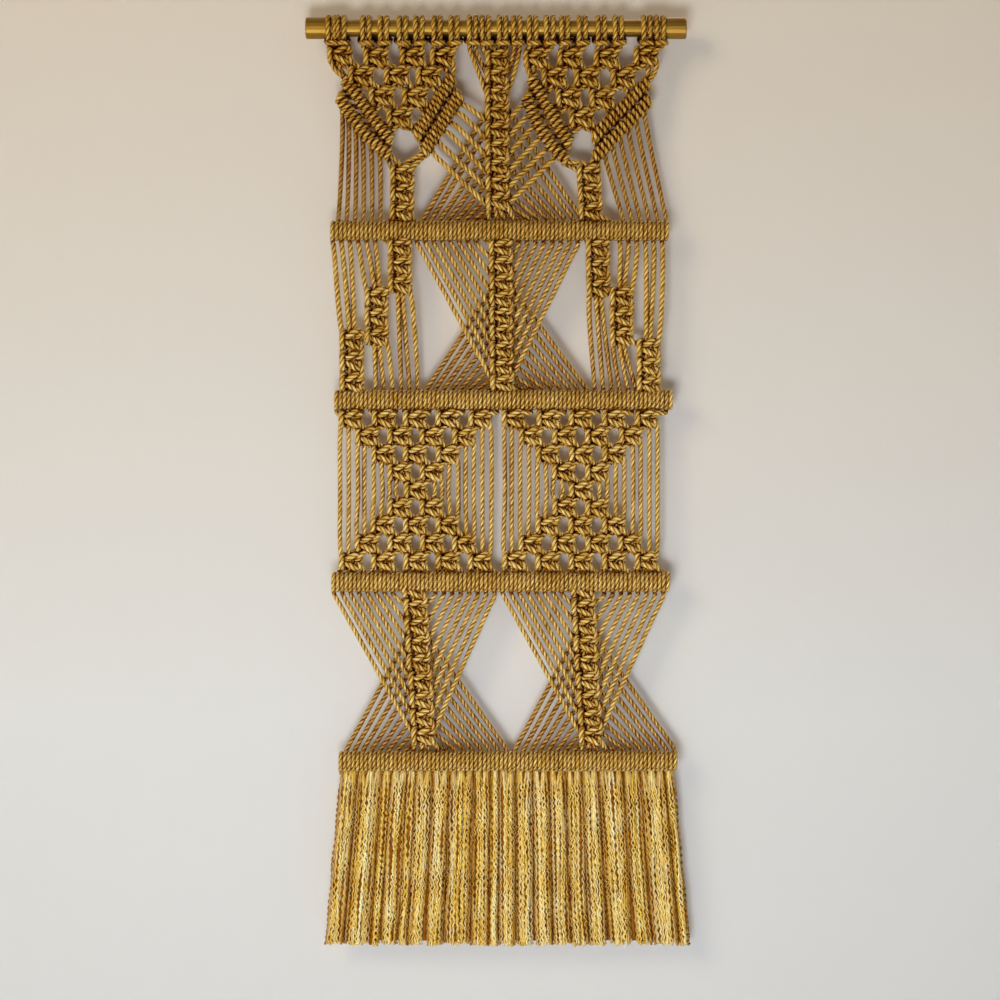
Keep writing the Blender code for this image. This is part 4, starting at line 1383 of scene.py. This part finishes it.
# Painted light: the wall's colour by height stands for a lamp's glow.
painted_lamp_glow = colour_by_height(wall_nodes, wall_links, wall_place, *WALL_FADE, WALL_STOPS)
wall_links.new(painted_lamp_glow, wall_shader.inputs["Base Color"])
clear = wall_nodes.new("ShaderNodeBsdfTransparent")
facing = wall_nodes.new("ShaderNodeNewGeometry")
either = wall_nodes.new("ShaderNodeMixShader")
wall_links.new(facing.outputs["Backfacing"], either.inputs[0])
wall_links.new(wall_shader.outputs[0], either.inputs[1])
wall_links.new(clear.outputs[0], either.inputs[2])
wall_links.new(either.outputs[0], wall_nodes["Material Output"].inputs["Surface"])
floor_finish, _, _, floor_shader = new_finish("pale_floor")
floor_shader.inputs["Base Color"].default_value = (*WALL_LOW, 1.0)
floor_shader.inputs["Roughness"].default_value = 0.85
around_wall = ((-1, FLOOR_Z), (1, FLOOR_Z), (1, WALL_TOP), (-1, WALL_TOP))
wall_corners = [(side * HALF_ROOM, WALL_Y, z) for side, z in around_wall]
around_floor = ((-1, -1), (1, -1), (1, 1), (-1, 1))
floor_corners = [(side * HALF_ROOM, deep * HALF_ROOM, FLOOR_Z) for side, deep in around_floor]
wall = flat_stage("wall", wall_corners, wall_finish)
floor = flat_stage("floor", floor_corners, floor_finish)
print("the wall stands", WALL_Y, "m behind the rod's axis")

# %% [markdown]
# ## The light
# A cool lamp low in front is the nearest one and gives most of the light.  A
# broad warm one stands further off, high on the left.  A third lamp stands
# behind the wall and shines on the hanging's back.  Only the meshes of the
# hanging may block it: the wall would swallow its light, because the back of
# the hanging sees the wall's solid side.

# %% Lights
LAMPS = (
    ("key", (-2.6, -3.2, 1.5), (0.0, 0.0, -0.3), 2.0, 57.0, (1.0, 0.83, 0.54)),
    ("front", (-0.2, -2.0, -1.2), (0.0, 0.0, -0.7), 0.7, 29.0, (0.9, 0.98, 1.08)),
    ("from_behind", (1.0, 2.9, 1.5), (0.0, 0.0, -0.4), 2.4, 50.0, (1.0, 0.93, 0.82)),
)
ROOM_COLOUR = (0.9, 0.87, 0.83, 1.0)
ROOM_STRENGTH = 0.27


def soft_light(name, place, aim, size, power, colour):
    """A round lamp of a size in metres and a power in watts, turned to look at aim."""
    data = bpy.data.lights.new(name, "AREA")
    data.shape = "DISK"
    data.size = size
    data.energy = power
    data.color = colour
    light = bpy.data.objects.new(name, data)
    light.location = place
    direction = np.array(aim) - np.array(place)
    tilt = math.acos(-direction[2] / np.linalg.norm(direction))
    turn = math.atan2(direction[1], direction[0]) - math.pi / 2
    light.rotation_euler = (tilt, 0.0, turn)
    bpy.context.scene.collection.objects.link(light)
    return light


lamps = {lamp[0]: soft_light(*lamp) for lamp in LAMPS}
in_its_way = bpy.data.collections.new("in_the_way_of_the_back_light")
for made in bpy.context.scene.objects:
    if made.type == "MESH" and made not in (wall, floor):
        in_its_way.objects.link(made)
lamps["from_behind"].light_linking.blocker_collection = in_its_way
world = bpy.data.worlds.new("room")
world.use_nodes = True
sky = world.node_tree.nodes["Background"]
sky.inputs["Color"].default_value = ROOM_COLOUR
sky.inputs["Strength"].default_value = ROOM_STRENGTH
bpy.context.scene.world = world
bpy.context.scene.view_settings.view_transform = "Standard"

# %% [markdown]
# ## The camera
# The hanging is flat and hangs straight, so the camera looks at it squarely from
# a good distance.  A long lens keeps the bars level and parallel to the edges.

# %% Camera
SENSOR = 36.0
LENS = 88.5
CAMERA_PLACE = (0.0037, -2.3, -0.4413)
camera_data = bpy.data.cameras.new("camera")
camera_data.sensor_width = SENSOR
camera_data.lens = LENS
camera = bpy.data.objects.new("camera", camera_data)
camera.location = CAMERA_PLACE
camera.rotation_euler = (math.pi / 2, 0.0, 0.0)
bpy.context.scene.collection.objects.link(camera)
bpy.context.scene.camera = camera
print("the camera looks straight at the wall from", camera.location.y, "m")
